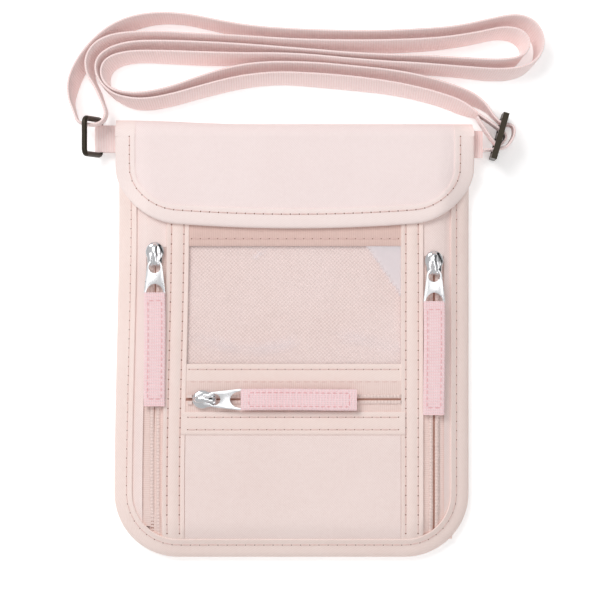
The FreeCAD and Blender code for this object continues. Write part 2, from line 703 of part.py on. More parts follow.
def make_ring():
    """A bent-wire ring, standing in the tab's loop and leaning outwards."""
    radius = size("ring_wire") / 2
    half = size("ring_span") / 2
    height = size("ring_height")
    bend = size("ring_corner")
    corners = [Vector(0, -half, 0), Vector(0, half, 0), Vector(0, half, height), Vector(0, -half, height)]
    pieces = []
    for i, corner in enumerate(corners):
        before, after = corners[i - 1], corners[(i + 1) % len(corners)]
        into = (corner - before).normalize()
        out = (after - corner).normalize()
        start = corner - into * bend
        end = corner + out * bend
        straight = (after - out * bend) - end
        pieces.append(Part.makeCylinder(radius, straight.Length, end, out))
        centre = start + out * bend
        disc = Part.Face(Part.Wire(Part.makeCircle(radius, start, into)))
        pieces.append(disc.revolve(centre, into.cross(out), 90))
    ring = doc.addObject("Part::Feature", "StrapRing")
    ring.Shape = pieces[0].fuse(pieces[1:]).removeSplitter()
    outer = radius + size("ring_clearance") + size("tab_cloth")
    x = -size("body_width") / 2 - size("tab_length")
    lean = FreeCAD.Rotation(Vector(0, 1, 0), -size("ring_lean"))
    ring.Placement = FreeCAD.Placement(Vector(x, size("ring_y"), outer), lean)
    keep(ring, "strap_ring")


ADJUSTER_LOW = Vector(87.1, 78.8, 0)
ADJUSTER_ALONG = Vector(0.270, 0.963, 0)


def make_adjuster():
    """A three-bar slide standing on edge, with the strap through both its slots."""
    body = doc.addObject("PartDesign::Body", "Adjuster")
    long = cell("adjuster_length")
    rail = cell("adjuster_rail")
    tall = "(Sizes.webbing_width + 2 * Sizes.adjuster_rail + 3 * Sizes.webbing_clearance)"
    frame = [("0", "0"), (long, "0"), (long, tall), ("0", tall)]
    blank = pad(body, outline(body, "AdjusterFrame", frame), cell("adjuster_thick"), midplane=True)
    doc.recompute()
    bar = cell("adjuster_bar")
    slot_long = f"({long} - 3 * {bar}) / 2"
    for name, start in (("LowSlot", bar), ("HighSlot", f"{bar} + {slot_long} + {bar}")):
        slot = [
            (start, rail),
            (f"{start} + {slot_long}", rail),
            (f"{start} + {slot_long}", f"{tall} - {rail}"),
            (start, f"{tall} - {rail}"),
        ]
        pocket(body, outline(body, "Adjuster" + name, slot), "2 * Sizes.adjuster_thick")
    along = ADJUSTER_ALONG
    up = Vector(0, 0, 1)
    rotation = FreeCAD.Rotation(along, up, along.cross(up), "XYZ")
    body.Placement = FreeCAD.Placement(ADJUSTER_LOW, rotation)
    keep(body, "strap_adjuster")


# ---------------------------------------------------------------- neck strap
# The webbing stands on edge. Its line is seen from above, from the right side of the
# pouch, through the adjuster, round both end loops, through the ring and back.

ADJUSTER_PASS = [(83.0, 82.6), (92.0, 83.0), (94.9, 85.9), (96.8, 90.2), (95.9, 94.0), (90.6, 94.3), (87.3, 98.1)]

OUTER_RUN = [
    (87.3, 98.1), (82.9, 103.15), (73.0, 108.0), (59.5, 112.6), (44.5, 115.5), (25.0, 117.2), (7.5, 119.0),
    (-10.0, 119.5), (-25.0, 117.7), (-40.5, 113.0), (-53.5, 108.2), (-65.5, 105.8), (-74.5, 106.5),
    (-80.6, 110.0), (-82.3, 116.0), (-79.3, 121.2), (-70.5, 123.8), (-55.5, 123.5), (-40.5, 122.8),
    (-23.0, 122.5), (-7.5, 122.8), (7.5, 122.0), (22.5, 120.2), (40.0, 118.9), (57.5, 118.3), (75.0, 116.8),
    (90.0, 115.4), (101.0, 117.0), (107.2, 122.5), (108.2, 130.5), (104.0, 137.5), (96.0, 140.2),
    (85.0, 138.0), (70.5, 134.6), (53.0, 133.3), (36.0, 132.6), (18.5, 132.9), (1.0, 133.4),
    (-16.5, 134.6), (-31.5, 137.2), (-47.5, 140.8), (-62.0, 141.0), (-75.0, 137.2), (-85.3, 130.0),
    (-92.2, 121.2), (-96.3, 112.5), (-97.2, 104.8), (-95.0, 98.6),
]

RING_PASS = [(-95.0, 98.6), (-93.6, 94.65), (-88.4, 93.3), (-83.0, 94.1), (-80.6, 98.4), (-82.6, 103.6)]

INNER_RUN = [
    (-82.6, 103.6), (-84.8, 109.3), (-88.4, 115.2), (-88.4, 122.3), (-83.5, 128.6), (-74.5, 131.6),
    (-58.0, 132.0), (-40.5, 130.9), (-23.0, 130.1), (-5.5, 129.0), (12.0, 128.3), (29.5, 128.0),
    (46.5, 128.2), (64.0, 129.2), (79.5, 131.6), (90.5, 134.3), (98.6, 132.8), (102.0, 127.4), (98.8, 121.8),
    (90.0, 120.2), (77.0, 121.0), (59.5, 122.1), (42.5, 122.3), (25.0, 123.0), (7.5, 124.8), (-10.0, 126.2),
    (-27.5, 127.2), (-42.5, 127.8), (-58.0, 128.4), (-70.0, 128.2), (-79.0, 125.6), (-84.0, 121.2),
    (-84.9, 115.2), (-81.8, 109.2), (-75.6, 104.6), (-66.0, 102.4), (-53.5, 104.4), (-38.0, 108.9),
    (-23.0, 112.6), (-7.5, 114.4), (9.5, 113.5), (29.5, 111.7), (46.5, 109.4), (61.0, 105.9), (71.5, 102.4),
    (80.3, 97.9),
]

SEWN_LOOP = [(80.7, 98.4), (90.9, 91.5), (93.2, 88.2), (89.7, 84.2), (86.3, 87.3), (80.0, 97.4)]


def rounded_route(points):
    """A route's runs and tangent arcs: each is (kind, start, middle, end, centre, turn)."""
    route = [Vector(x, y, 0) for x, y in points]
    radii = []
    pieces = []
    here = route[0]
    for i in range(1, len(route) - 1):
        corner = route[i]
        into = corner - route[i - 1]
        out = route[i + 1] - corner
        shorter = min(into.Length, out.Length)
        into.normalize()
        out.normalize()
        turn = math.atan2(into.x * out.y - into.y * out.x, into.dot(out))
        reach = 0.45 * shorter
        radius = reach / math.tan(abs(turn) / 2)
        side = 1 if turn > 0 else -1
        start = corner - into * reach
        end = corner + out * reach
        centre = start + Vector(-into.y, into.x, 0) * radius * side
        middle = centre + (corner - centre).normalize() * radius
        pieces.append(("run", here, None, start, None, 0))
        pieces.append(("arc", start, middle, end, centre, side))
        here = end
        radii.append(radius)
    pieces.append(("run", here, None, route[-1], None, 0))
    return pieces, radii


def side_edges(pieces, offset):
    """The edges of a route moved sideways to its left by the offset."""
    edges = []
    for kind, start, middle, end, centre, side in pieces:
        if kind == "run":
            along = (end - start).normalize()
            aside = Vector(-along.y, along.x, 0) * offset
            edges.append(Part.LineSegment(start + aside, end + aside).toShape())
            continue
        scale = 1 - side * offset / (start - centre).Length
        ends = [centre + (point - centre) * scale for point in (start, middle, end)]
        edges.append(Part.Arc(*ends).toShape())
    return edges


def make_webbing(label, points, base):
    """One stretch of webbing standing on edge along a route."""
    half = size("webbing_thick") / 2
    pieces, radii = rounded_route(points)
    left = side_edges(pieces, half)
    right = side_edges(pieces, -half)
    caps = []
    for end, index in ((0, 0), (-1, -1)):
        a = left[end].Vertexes[index].Point
        b = right[end].Vertexes[index].Point
        caps.append(Part.LineSegment(a, b).toShape())
    wire = Part.Wire(Part.__sortEdges__(left + right + caps))
    webbing = doc.addObject("Part::Feature", label.title().replace("_", ""))
    webbing.Shape = Part.Face(wire).extrude(Vector(0, 0, size("webbing_width")))
    webbing.Placement = FreeCAD.Placement(Vector(0, 0, base), FreeCAD.Rotation())
    length = sum(edge.Length for edge in side_edges(pieces, 0))
    section = size("webbing_thick") * size("webbing_width")
    print(f"{label}: {length:.1f} mm long, volume {webbing.Shape.Volume / (section * length):.4f} of its")
    print(f"  section times length, bends from {min(radii):.1f} to {max(radii):.0f} mm")
    keep(webbing, label)
    return length


def make_strap():
    """All stretches of the neck strap, which meet end to end."""
    gap = size("webbing_clearance")
    ring_base = size("ring_wire") + size("ring_clearance") + size("tab_cloth") + gap
    adjuster_base = size("adjuster_rail") + gap
    total = make_webbing("strap_outer_run", OUTER_RUN, 0)
    total += make_webbing("strap_inner_run", INNER_RUN, 0)
    total += make_webbing("strap_through_ring", RING_PASS, ring_base)
    total += make_webbing("strap_through_adjuster", ADJUSTER_PASS, adjuster_base)
    make_webbing("strap_sewn_loop", SEWN_LOOP, adjuster_base)
    print(f"neck strap: {total:.0f} mm between its two ends")


# ---------------------------------------------------------------- build and write


def check_and_write():
    """Stop on any failed object or empty shape, then write every sub-part."""
    doc.recompute()
    failed = [o.Name for o in doc.Objects if {"Invalid", "Error"} & set(o.State)]
    if failed:
        raise RuntimeError("failed objects: " + ", ".join(failed))
    for node in nodes:
        if node.Shape.isNull() or not node.Shape.isValid() or not node.Shape.Solids:
            raise RuntimeError(f"{node.Label} has no valid solid")
    os.makedirs("parts", exist_ok=True)
    for node in nodes:
        node.Shape.exportStep(f"parts/{node.Label}.step")
    print(f"{len(nodes)} sub-parts written")


make_body()
make_top_fold()
make_front()
make_flap()
make_zips()
make_ring_tab()
make_strap_end_tab()
make_ring()
make_adjuster()
make_strap()
check_and_write()
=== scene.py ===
"""Looks of a flat neck pouch: bound cloth, zips with ribbon pulls, a clear window and a long webbing strap.

Every length is in metres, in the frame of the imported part: +Y runs to the neck strap and +Z out of the front.
"""

import json
import logging
import math
from dataclasses import dataclass
from enum import Enum
from typing import Callable, Iterable, Iterator, Optional, Sequence

import bmesh
import bpy
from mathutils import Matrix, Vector, noise


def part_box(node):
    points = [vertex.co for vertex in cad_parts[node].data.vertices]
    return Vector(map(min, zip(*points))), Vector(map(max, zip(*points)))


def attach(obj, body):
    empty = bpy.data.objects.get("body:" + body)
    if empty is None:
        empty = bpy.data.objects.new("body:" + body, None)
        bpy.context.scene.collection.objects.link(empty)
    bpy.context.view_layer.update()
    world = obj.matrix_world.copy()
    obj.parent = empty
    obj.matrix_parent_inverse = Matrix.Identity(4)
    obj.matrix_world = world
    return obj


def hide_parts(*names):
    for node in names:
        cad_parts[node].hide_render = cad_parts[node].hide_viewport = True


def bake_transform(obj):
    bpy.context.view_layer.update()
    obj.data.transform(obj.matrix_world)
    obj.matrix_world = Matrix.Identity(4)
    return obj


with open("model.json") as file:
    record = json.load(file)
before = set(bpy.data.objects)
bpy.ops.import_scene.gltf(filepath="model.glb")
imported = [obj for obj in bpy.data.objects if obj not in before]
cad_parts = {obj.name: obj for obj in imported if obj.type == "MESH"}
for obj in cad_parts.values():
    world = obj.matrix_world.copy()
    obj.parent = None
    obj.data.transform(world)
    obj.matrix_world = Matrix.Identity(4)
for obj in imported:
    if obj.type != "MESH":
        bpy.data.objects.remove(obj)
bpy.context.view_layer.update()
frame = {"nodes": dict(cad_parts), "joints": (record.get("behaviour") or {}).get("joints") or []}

log = logging.getLogger("neck_pouch")
MM = 0.001
TURN = 2.0 * math.pi
MESH_STEP = 2.6 * MM
PAIRED_SEAMS = (2.2 * MM, 7.6 * MM)
Point = tuple[float, float]
Path = Sequence[tuple[Vector, Vector]]


def smooth(t: float) -> float:
    """Returns t held to 0..1 and eased at both ends."""
    t = min(1.0, max(0.0, t))
    return t * t * (3.0 - 2.0 * t)


def mix(a: float, b: float, t: float) -> float:
    """Returns the value a share t of the way from a to b."""
    return a + (b - a) * t


# --------------------------------------------------------------------------------------------------
# Shader maths
# --------------------------------------------------------------------------------------------------


class Value:
    """A number carried by a shader socket, which takes part in Python arithmetic."""

    def __init__(self, tree: "Tree", socket: bpy.types.NodeSocket) -> None:
        """Keeps the socket and the tree that new nodes go into."""
        self.tree = tree
        self.socket = socket

    def _math(self, operation: str, *others: object) -> "Value":
        """Adds one Math node.

        Args:
            operation: The node's operation.
            others: The second and third inputs, numbers or values.

        Returns:
            The node's result.
        """
        inputs = {index: item for index, item in enumerate((self, *others))}
        return self.tree.value("ShaderNodeMath", {"operation": operation}, inputs)

    def __add__(self, other: object) -> "Value":
        """Returns self + other."""
        return self._math("ADD", other)

    __radd__ = __add__

    def __mul__(self, other: object) -> "Value":
        """Returns self * other."""
        return self._math("MULTIPLY", other)

    __rmul__ = __mul__

    def __sub__(self, other: object) -> "Value":
        """Returns self - other."""
        return self._math("SUBTRACT", other)

    def __rsub__(self, other: float) -> "Value":
        """Returns other - self."""
        return (self * -1.0) + other

    def wave(self, pitch: float, shift: float = 0.0) -> "Value":
        """Returns a smooth wave from 0 to 1 that repeats every pitch."""
        return (self * (TURN / pitch) + shift)._math("SINE") * 0.5 + 0.5


class Tree:
    """The node tree of one finish, with a Principled shader at its end."""

    def __init__(self, name: str) -> None:
        """Makes an empty material and its surface shader."""
        self.material = bpy.data.materials.new(name)
        self.material.use_nodes = True
        self.nodes = self.material.node_tree.nodes
        self.nodes.clear()
        self.output = self.node("ShaderNodeOutputMaterial")
        self.surface = self.node("ShaderNodeBsdfPrincipled")
        self.link(self.output.inputs["Surface"], self.surface.outputs[0])

    def link(self, socket: bpy.types.NodeSocket, source: object) -> None:
        """Joins a socket to a value or an output, or sets it to a constant."""
        if isinstance(source, Value):
            source = source.socket
        if isinstance(source, bpy.types.NodeSocket):
            self.material.node_tree.links.new(source, socket)
        else:
            socket.default_value = source

    def node(self, kind: str, settings: Optional[dict] = None,
             sockets: Optional[dict] = None) -> bpy.types.Node:
        """Adds one node.

        Args:
            kind: The node's type.
            settings: What to set on the node first; "stops" are a ramp's (place, colour) pairs.
            sockets: A constant or a link for each input, by name or number.

        Returns:
            The node.
        """
        node = self.nodes.new(kind)
        for key, setting in (settings or {}).items():
            if key == "stops":
                for index, (place, colour) in enumerate(setting):
                    ends = node.color_ramp.elements
                    stop = ends[index] if index < len(ends) else ends.new(place)
                    stop.position = place
                    stop.color = colour
            else:
                setattr(node, key, setting)
        for key, source in (sockets or {}).items():
            self.link(node.inputs[key], source)
        return node

    def value(self, kind: str, settings: Optional[dict] = None, sockets: Optional[dict] = None,
              output: object = 0) -> Value:
        """Adds one node and returns one of its outputs, the first unless named."""
        return Value(self, self.node(kind, settings, sockets).outputs[output])

    def place(self) -> bpy.types.NodeSocket:
        """Returns the point's own coordinates, in metres."""
        return self.node("ShaderNodeTexCoord").outputs["Object"]

    def along(self) -> tuple[Value, Value]:
        """Returns the distances along and across the cloth, in metres, from the mesh's own attribute."""
        lay = self.node("ShaderNodeAttribute", {"attribute_name": "lay"}).outputs["Vector"]
        split = self.node("ShaderNodeSeparateXYZ", None, {0: lay})
        return Value(self, split.outputs[0]), Value(self, split.outputs[1])

    def cloud(self, size: float, detail: float = 3.0) -> Value:
        """Returns soft noise whose patches are about size across."""
        sockets = {"Vector": self.place(), "Scale": 1.0 / size, "Detail": detail}
        return self.value("ShaderNodeTexNoise", None, sockets)

    def tint(self, factor: Value, dark: Sequence[float], light: Sequence[float]) -> Value:
        """Returns the colour between dark and light that factor picks."""
        sockets = {0: factor, 6: (*dark, 1.0), 7: (*light, 1.0)}
        settings = {"data_type": "RGBA", "clamp_factor": True}
        return self.value("ShaderNodeMix", settings, sockets, 2)

    def raise_by(self, height: Value, depth: float) -> None:
        """Turns a height from 0 to 1 into bumps that deep, in metres."""
        bump = self.node("ShaderNodeBump", None, {"Height": height, "Distance": depth, "Strength": 1.0})
        self.link(self.surface.inputs["Normal"], bump.outputs[0])

    def set(self, **sockets: object) -> None:
        """Sets sockets of the surface shader; an underscore in a name stands for a space."""
        for name, source in sockets.items():
            self.link(self.surface.inputs[name.replace("_", " ")], source)


class Weave(Enum):
    """How a cloth's threads lie."""

    PLAIN = "over and under"
    TWILL = "fine slanted ribs"
    CROSS_RIBS = "thick ribs from edge to edge"
    GRID_RIBS = "thick ribs crossed by finer ones along the length"
    PILE = "short pile"


@dataclass(frozen=True)
class Finish:
    """A surface finish, whose material is made the first time that it is asked for."""

    name: str

    def material(self) -> bpy.types.Material:
        """Returns the finish's material."""
        made = bpy.data.materials.get(self.name)
        if made:
            return made
        tree = Tree(self.name)
        self.fill(tree)
        return tree.material

    def fill(self, tree: Tree) -> None:
        """Sets the surface shader; each finish has its own."""
        raise NotImplementedError


@dataclass(frozen=True)
class Cloth(Finish):
    """A woven finish.

    Attributes:
        light: Colour of the thread tops.
        dark: Colour of the hollows between the threads, darkened as painted shade, and of the darker dye
            patches.
        weave: How the threads lie.
        pitch: Distance from thread to thread.
        depth: Height of the threads.
        sheen: Strength of the soft edge light.
        rough: Roughness of the thread.
    """

    light: tuple[float, float, float]
    dark: tuple[float, float, float]
    weave: Weave = Weave.PLAIN
    pitch: float = 0.9 * MM
    depth: float = 0.06 * MM
    sheen: float = 0.15
    rough: float = 0.85

    def fill(self, tree: Tree) -> None:
        """Weaves the cloth: its threads, its uneven dye, painted shade in the hollows between threads and its
        soft edge light.
        """
        height = self.threads(tree)
        # Colour mixes random dye patches with thread height, so the hollows get painted shade.
        dye_and_thread_shade = tree.cloud(26 * MM, 2.0) * 0.4 + tree.cloud(1.6 * MM, 2.0) * 0.4 + height * 0.6
        tree.set(Base_Color=tree.tint(dye_and_thread_shade * 1.3 - 0.25, self.dark, self.light))
        tree.set(Roughness=self.rough, Sheen_Weight=self.sheen, Sheen_Roughness=0.5, Specular_IOR_Level=0.25)
        tree.raise_by(height, self.depth)

    def threads(self, tree: Tree) -> Value:
        """Returns the height of the threads, from 0 to 1."""
        run, side = tree.along()
        fuzz = tree.cloud(0.5 * MM, 2.0)
        if self.weave is Weave.PLAIN:
            over = run.wave(2 * self.pitch) * side.wave(2 * self.pitch)
            under = run.wave(2 * self.pitch, math.pi) * side.wave(2 * self.pitch, math.pi)
            return over + under + fuzz * 0.25
        if self.weave is Weave.TWILL:
            return (run * 0.5 + side).wave(self.pitch) * 0.7 + fuzz * 0.3
        if self.weave is Weave.CROSS_RIBS:
            grain = side.wave(0.42 * self.pitch) * 0.25
            return run.wave(self.pitch) * 0.75 + grain
        if self.weave is Weave.GRID_RIBS:
            return run.wave(self.pitch) * side.wave(0.75 * self.pitch) * 1.3 + fuzz * 0.1
        return fuzz


@dataclass(frozen=True)
class Metal(Finish):
    """A plated or painted metal finish.

    Attributes:
        colour: Colour of the metal.
        rough: Roughness where it is clean.
        worn: How much rougher its patches are.
        metallic: How far it is bare metal, rather than lacquer.
    """

    colour: tuple[float, float, float]
    rough: float
    worn: float = 0.08
    metallic: float = 1.0

    def fill(self, tree: Tree) -> None:
        """Sets the metal with its faint handling marks."""
        marks = tree.cloud(2.5 * MM, 4.0)
        deep = tuple(0.86 * c for c in self.colour)
        tree.set(Base_Color=tree.tint(marks * 1.6 - 0.3, deep, self.colour))
        tree.set(Roughness=marks * self.worn + self.rough, Metallic=self.metallic)
        tree.raise_by(tree.cloud(0.7 * MM, 2.0), 0.004 * MM)


@dataclass(frozen=True)
class Nylon(Finish):
    """The moulded teeth of a zip."""

    colour: tuple[float, float, float]

    def fill(self, tree: Tree) -> None:
        """Sets the satin nylon."""
        dull = tuple(0.85 * c for c in self.colour)
        tree.set(Base_Color=tree.tint(tree.cloud(1.2 * MM), dull, self.colour))
        tree.set(Roughness=0.42, Specular_IOR_Level=0.45)
        tree.raise_by(tree.cloud(0.3 * MM, 1.0), 0.01 * MM)


@dataclass(frozen=True)
class ClearFilm(Finish):
    """The window's flexible film: nearly clear and glossy, with highlights painted into its whitish opacity
    where its corner lifts and along streaks.
    """

    def fill(self, tree: Tree) -> None:
        """Sets the film; its opacity carries painted highlights where the corner lifts and along streaks, with
        random haze.
        """
        painted_glare = tree.value("ShaderNodeAttribute", {"attribute_name": "painted_glare"}, None, "Fac")
        haze = tree.cloud(30 * MM, 1.0)
        tree.set(Base_Color=(0.93, 0.88, 0.92, 1.0), Roughness=0.12, IOR=1.46, Specular_IOR_Level=0.6)
        # Whitish opacity here is painted highlight where the film lifts and along streaks, plus random haze.
        tree.set(Alpha=painted_glare * 0.5 + haze * 0.08 + 0.04)
        tree.raise_by(tree.cloud(9 * MM, 1.0), 0.05 * MM)


CANVAS = Cloth("canvas_pink", (0.93, 0.78, 0.745), (0.82, 0.645, 0.605),
               Weave.PLAIN, 0.55 * MM, 0.05 * MM)
FLAP_CANVAS = Cloth("canvas_flap", (0.95, 0.815, 0.80), (0.87, 0.72, 0.70),
                    Weave.PLAIN, 0.55 * MM, 0.05 * MM)
# The hem's ribbed canvas, darker with the flap's painted shadow.
HEM_CANVAS_SHADOWED = Cloth("canvas_hem_shadowed", (0.80, 0.585, 0.53), (0.68, 0.47, 0.42),
                   Weave.CROSS_RIBS, 0.8 * MM, 0.06 * MM)
INNER_CLOTH = Cloth("canvas_inside", (0.80, 0.62, 0.58), (0.70, 0.53, 0.50),
                    Weave.PLAIN, 0.6 * MM, 0.05 * MM)
WINDOW_CLOTH = Cloth("pocket_cloth_finish", (0.93, 0.755, 0.71), (0.70, 0.51, 0.465),
                     Weave.PLAIN, 0.85 * MM, 0.12 * MM)
TAPE = Cloth("binding_tape_finish", (0.94, 0.785, 0.735), (0.86, 0.67, 0.615),
             Weave.TWILL, 0.8 * MM, 0.03 * MM, 0.25, 0.7)
FLAP_TAPE = Cloth("flap_tape", (0.96, 0.83, 0.80), (0.90, 0.745, 0.71),
                  Weave.TWILL, 0.8 * MM, 0.03 * MM, 0.25, 0.7)
ZIP_TAPE = Cloth("zip_tape_finish", (0.88, 0.70, 0.655), (0.77, 0.575, 0.52),
                 Weave.CROSS_RIBS, 0.9 * MM, 0.04 * MM)
WEBBING = Cloth("webbing_finish", (0.99, 0.82, 0.80), (0.95, 0.71, 0.685),
                Weave.CROSS_RIBS, 1.1 * MM, 0.10 * MM, 0.3, 0.6)
RIBBON = Cloth("pull_ribbon_finish", (0.97, 0.77, 0.785), (0.90, 0.57, 0.59),
               Weave.GRID_RIBS, 1.3 * MM, 0.10 * MM, 0.3, 0.6)
PILE = Cloth("hook_and_loop_finish", (0.84, 0.66, 0.62), (0.70, 0.52, 0.48),
             Weave.PILE, 0.5 * MM, 0.15 * MM)
THREAD = Cloth("thread", (0.80, 0.58, 0.54), (0.68, 0.46, 0.42),
               Weave.TWILL, 0.3 * MM, 0.02 * MM, 0.1, 0.6)
PINK_THREAD = Cloth("pink_thread", (0.88, 0.50, 0.52), (0.80, 0.40, 0.42),
                    Weave.TWILL, 0.3 * MM, 0.02 * MM)
# Near-black brown beads: painted shade of the needle holes.
NEEDLE_HOLE_SHADE = Cloth("needle_hole_shade", (0.30, 0.15, 0.11), (0.19, 0.08, 0.06),
               Weave.PILE, 0.3 * MM, 0.02 * MM, 0.0, 0.9)
# Dark brown strip: painted shade in the gap between the zip tapes.
SLIT_SHADE = Cloth("zip_slit_shade", (0.42, 0.22, 0.17), (0.28, 0.13, 0.10),
             Weave.PILE, 0.3 * MM, 0.02 * MM, 0.0, 0.9)
CHROME = Metal("plated_metal_finish", (0.88, 0.88, 0.90), 0.08)
SATIN = Metal("satin_metal", (0.90, 0.90, 0.915), 0.24)
BRONZE = Metal("dark_metal_finish", (0.05, 0.04, 0.028), 0.34, 0.12, 0.75)
TEETH = Nylon("coil_nylon_finish", (0.90, 0.71, 0.66))
FILM = ClearFilm("clear_film_finish")


# --------------------------------------------------------------------------------------------------
# Building meshes
# --------------------------------------------------------------------------------------------------


class Piece:
    """A mesh being built, with each vertex's distance along and across its cloth."""

    def __init__(self, name: str) -> None:
        """Starts an empty mesh."""
        self.name = name
        self.points: list[Vector] = []
        self.faces: list[tuple[int, ...]] = []
        self.lay: list[tuple[float, float, float]] = []
        self.painted_glare: list[float] = []

    def vertex(self, point: Sequence[float], lay: Optional[Point] = None, painted_glare: float = 0.0) -> int:
        """Adds a vertex.

        Args:
            point: Where it is.
            lay: Its distance along and across the cloth, or nothing for its own x and y.
            painted_glare: Strength of the highlight painted into a clear film here, from 0 to 1.

        Returns:
            The vertex's number.
        """
        point = Vector(point)
        along = lay if lay else (point.x, point.y)
        self.points.append(point)
        self.lay.append((along[0], along[1], 0.0))
        self.painted_glare.append(painted_glare)
        return len(self.points) - 1

    def skin(self, rows: Sequence[Sequence[int]], round_rows: bool = False) -> None:
        """Fills between rows of vertices.

        Args:
            rows: Vertex numbers, the same count in each row.
            round_rows: Whether each row's end joins its start.
        """
        for first, second in zip(rows, rows[1:]):
            count = len(first) if round_rows else len(first) - 1
            for b in range(count):
                c = (b + 1) % len(first)
                self.faces.append((first[b], first[c], second[c], second[b]))

    def cap(self, ring: Sequence[int]) -> None:
        """Closes a ring of vertices with one face."""
        self.faces.append(tuple(ring))

    def tube(self, rings: Sequence[Sequence[int]]) -> None:
        """Fills between closed rings of vertices and closes both ends."""
        self.skin(rings, round_rows=True)
        self.cap(rings[0])
        self.cap(list(reversed(rings[-1])))

    def slab(self, top: Sequence[Sequence[int]], under: Sequence[Sequence[int]]) -> None:
        """Fills a sheet from the rows of its top and of its underside, with its four edges."""
        self.skin(top)
        self.skin([list(reversed(row)) for row in under])
        for end in (0, -1):
            self.skin([top[end], under[end]])
        for end in (0, -1):
            self.skin([[row[end] for row in top], [row[end] for row in under]])

    def make(self, finish: Finish, body: str, slot: str, replaced: Iterable[str] = (),
             crease: float = 40.0) -> bpy.types.Object:
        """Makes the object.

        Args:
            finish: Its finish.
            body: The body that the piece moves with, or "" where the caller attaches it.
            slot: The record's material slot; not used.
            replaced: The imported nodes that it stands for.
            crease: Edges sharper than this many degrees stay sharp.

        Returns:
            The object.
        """
        mesh = bpy.data.meshes.new(self.name)
        mesh.from_pydata(self.points, [], self.faces)
        mesh.validate()
        mesh.attributes.new("lay", "FLOAT_VECTOR", "POINT").data.foreach_set(
            "vector", [number for place in self.lay for number in place])
        # The film's painted highlight strength, read by its material.
        if any(self.painted_glare):
            mesh.attributes.new("painted_glare", "FLOAT", "POINT").data.foreach_set("value", self.painted_glare)
        piece = bpy.data.objects.new(self.name, mesh)
        bpy.context.scene.collection.objects.link(piece)
        outward(mesh)
        mesh.shade_smooth()
        mesh.set_sharp_from_angle(angle=math.radians(crease))
        mesh.materials.append(finish.material())
        if body:
            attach(piece, body)
        if replaced:
            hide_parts(*replaced)
        log.info("%s: %d faces", self.name, len(mesh.polygons))
        return piece


def outward(mesh: bpy.types.Mesh) -> None:
    """Turns a closed mesh's faces outwards."""
    work = bmesh.new()
    work.from_mesh(mesh)
    bmesh.ops.recalc_face_normals(work, faces=work.faces)
    work.to_mesh(mesh)
    work.free()


@dataclass(frozen=True)
class SoftShape:
    """The soft shape that every layer of the pouch shares.

    A layer's height is its flat level times the crown, so layers rise and fall together and never cross.

    Attributes:
        half: Half the pouch's width.
        low: Its bottom edge.
        corner: Radius of its lower corners.
        thin: How flat the stack is pressed at its bound edges.
        shoulder: Width over which it comes up to full height.
        fold: Where the cloth folds over at the top.
    """

    half: float
    low: float
    corner: float
    fold: float
    thin: float = 0.42
    shoulder: float = 15.5 * MM

    def inset(self, x: float, y: float) -> float:
        """Returns the distance in from the side or bottom edge."""
        across = abs(x) - (self.half - self.corner)
        down = self.low + self.corner - y
        if across > 0 and down > 0:
            return self.corner - math.hypot(across, down)
        return min(self.half - abs(x), y - self.low)

    def crown(self, x: float, y: float) -> float:
        """Returns the share of its flat level that a layer reaches at a place."""
        edge = mix(self.thin, 0.8, smooth((y - 45 * MM) / (self.fold - 45 * MM)))
        rise = smooth(self.inset(x, y) / self.shoulder)
        broad = noise.noise(Vector((x * 22, y * 17, 0.3))) * 0.022
        fine = noise.noise(Vector((x * 60, y * 55, 2.0))) * 0.008
        return mix(edge, 1.0, rise) + (broad + fine) * smooth(1.6 * rise)

    def warp(self, x: float, y: float) -> Point:
        """Returns where a cut-out point comes to lie: the left side flares out a little lower down."""
        flare = smooth((60 * MM - y) / (130 * MM))
        reach = smooth(-x / (45 * MM))
        return x + reach * mix(0.9 * MM, -1.2 * MM, flare), y

    def at(self, x: float, y: float, level: float) -> Vector:
        """Returns the point of a layer at flat place x, y."""
        there = self.warp(x, y)
        return Vector((there[0], there[1], level * self.crown(x, y)))


@dataclass(frozen=True)
class FlapShape(SoftShape):
    """The shape of the flap, which lies over the body and a little past its sides."""

    shift: float = 0.9 * MM

    def inset(self, x: float, y: float) -> float:
        """Returns the distance in from the side edge."""
        return max(0.0, self.half - abs(x))

    def warp(self, x: float, y: float) -> Point:
        """Returns the point's place: the flap's low edge hangs lowest at its middle."""
        ease = smooth((82 * MM - y) / (32 * MM))
        return x + self.shift * smooth((100 * MM - y) / (8 * MM)), y + 2.7 * MM * (x / (60 * MM)) ** 2 * ease


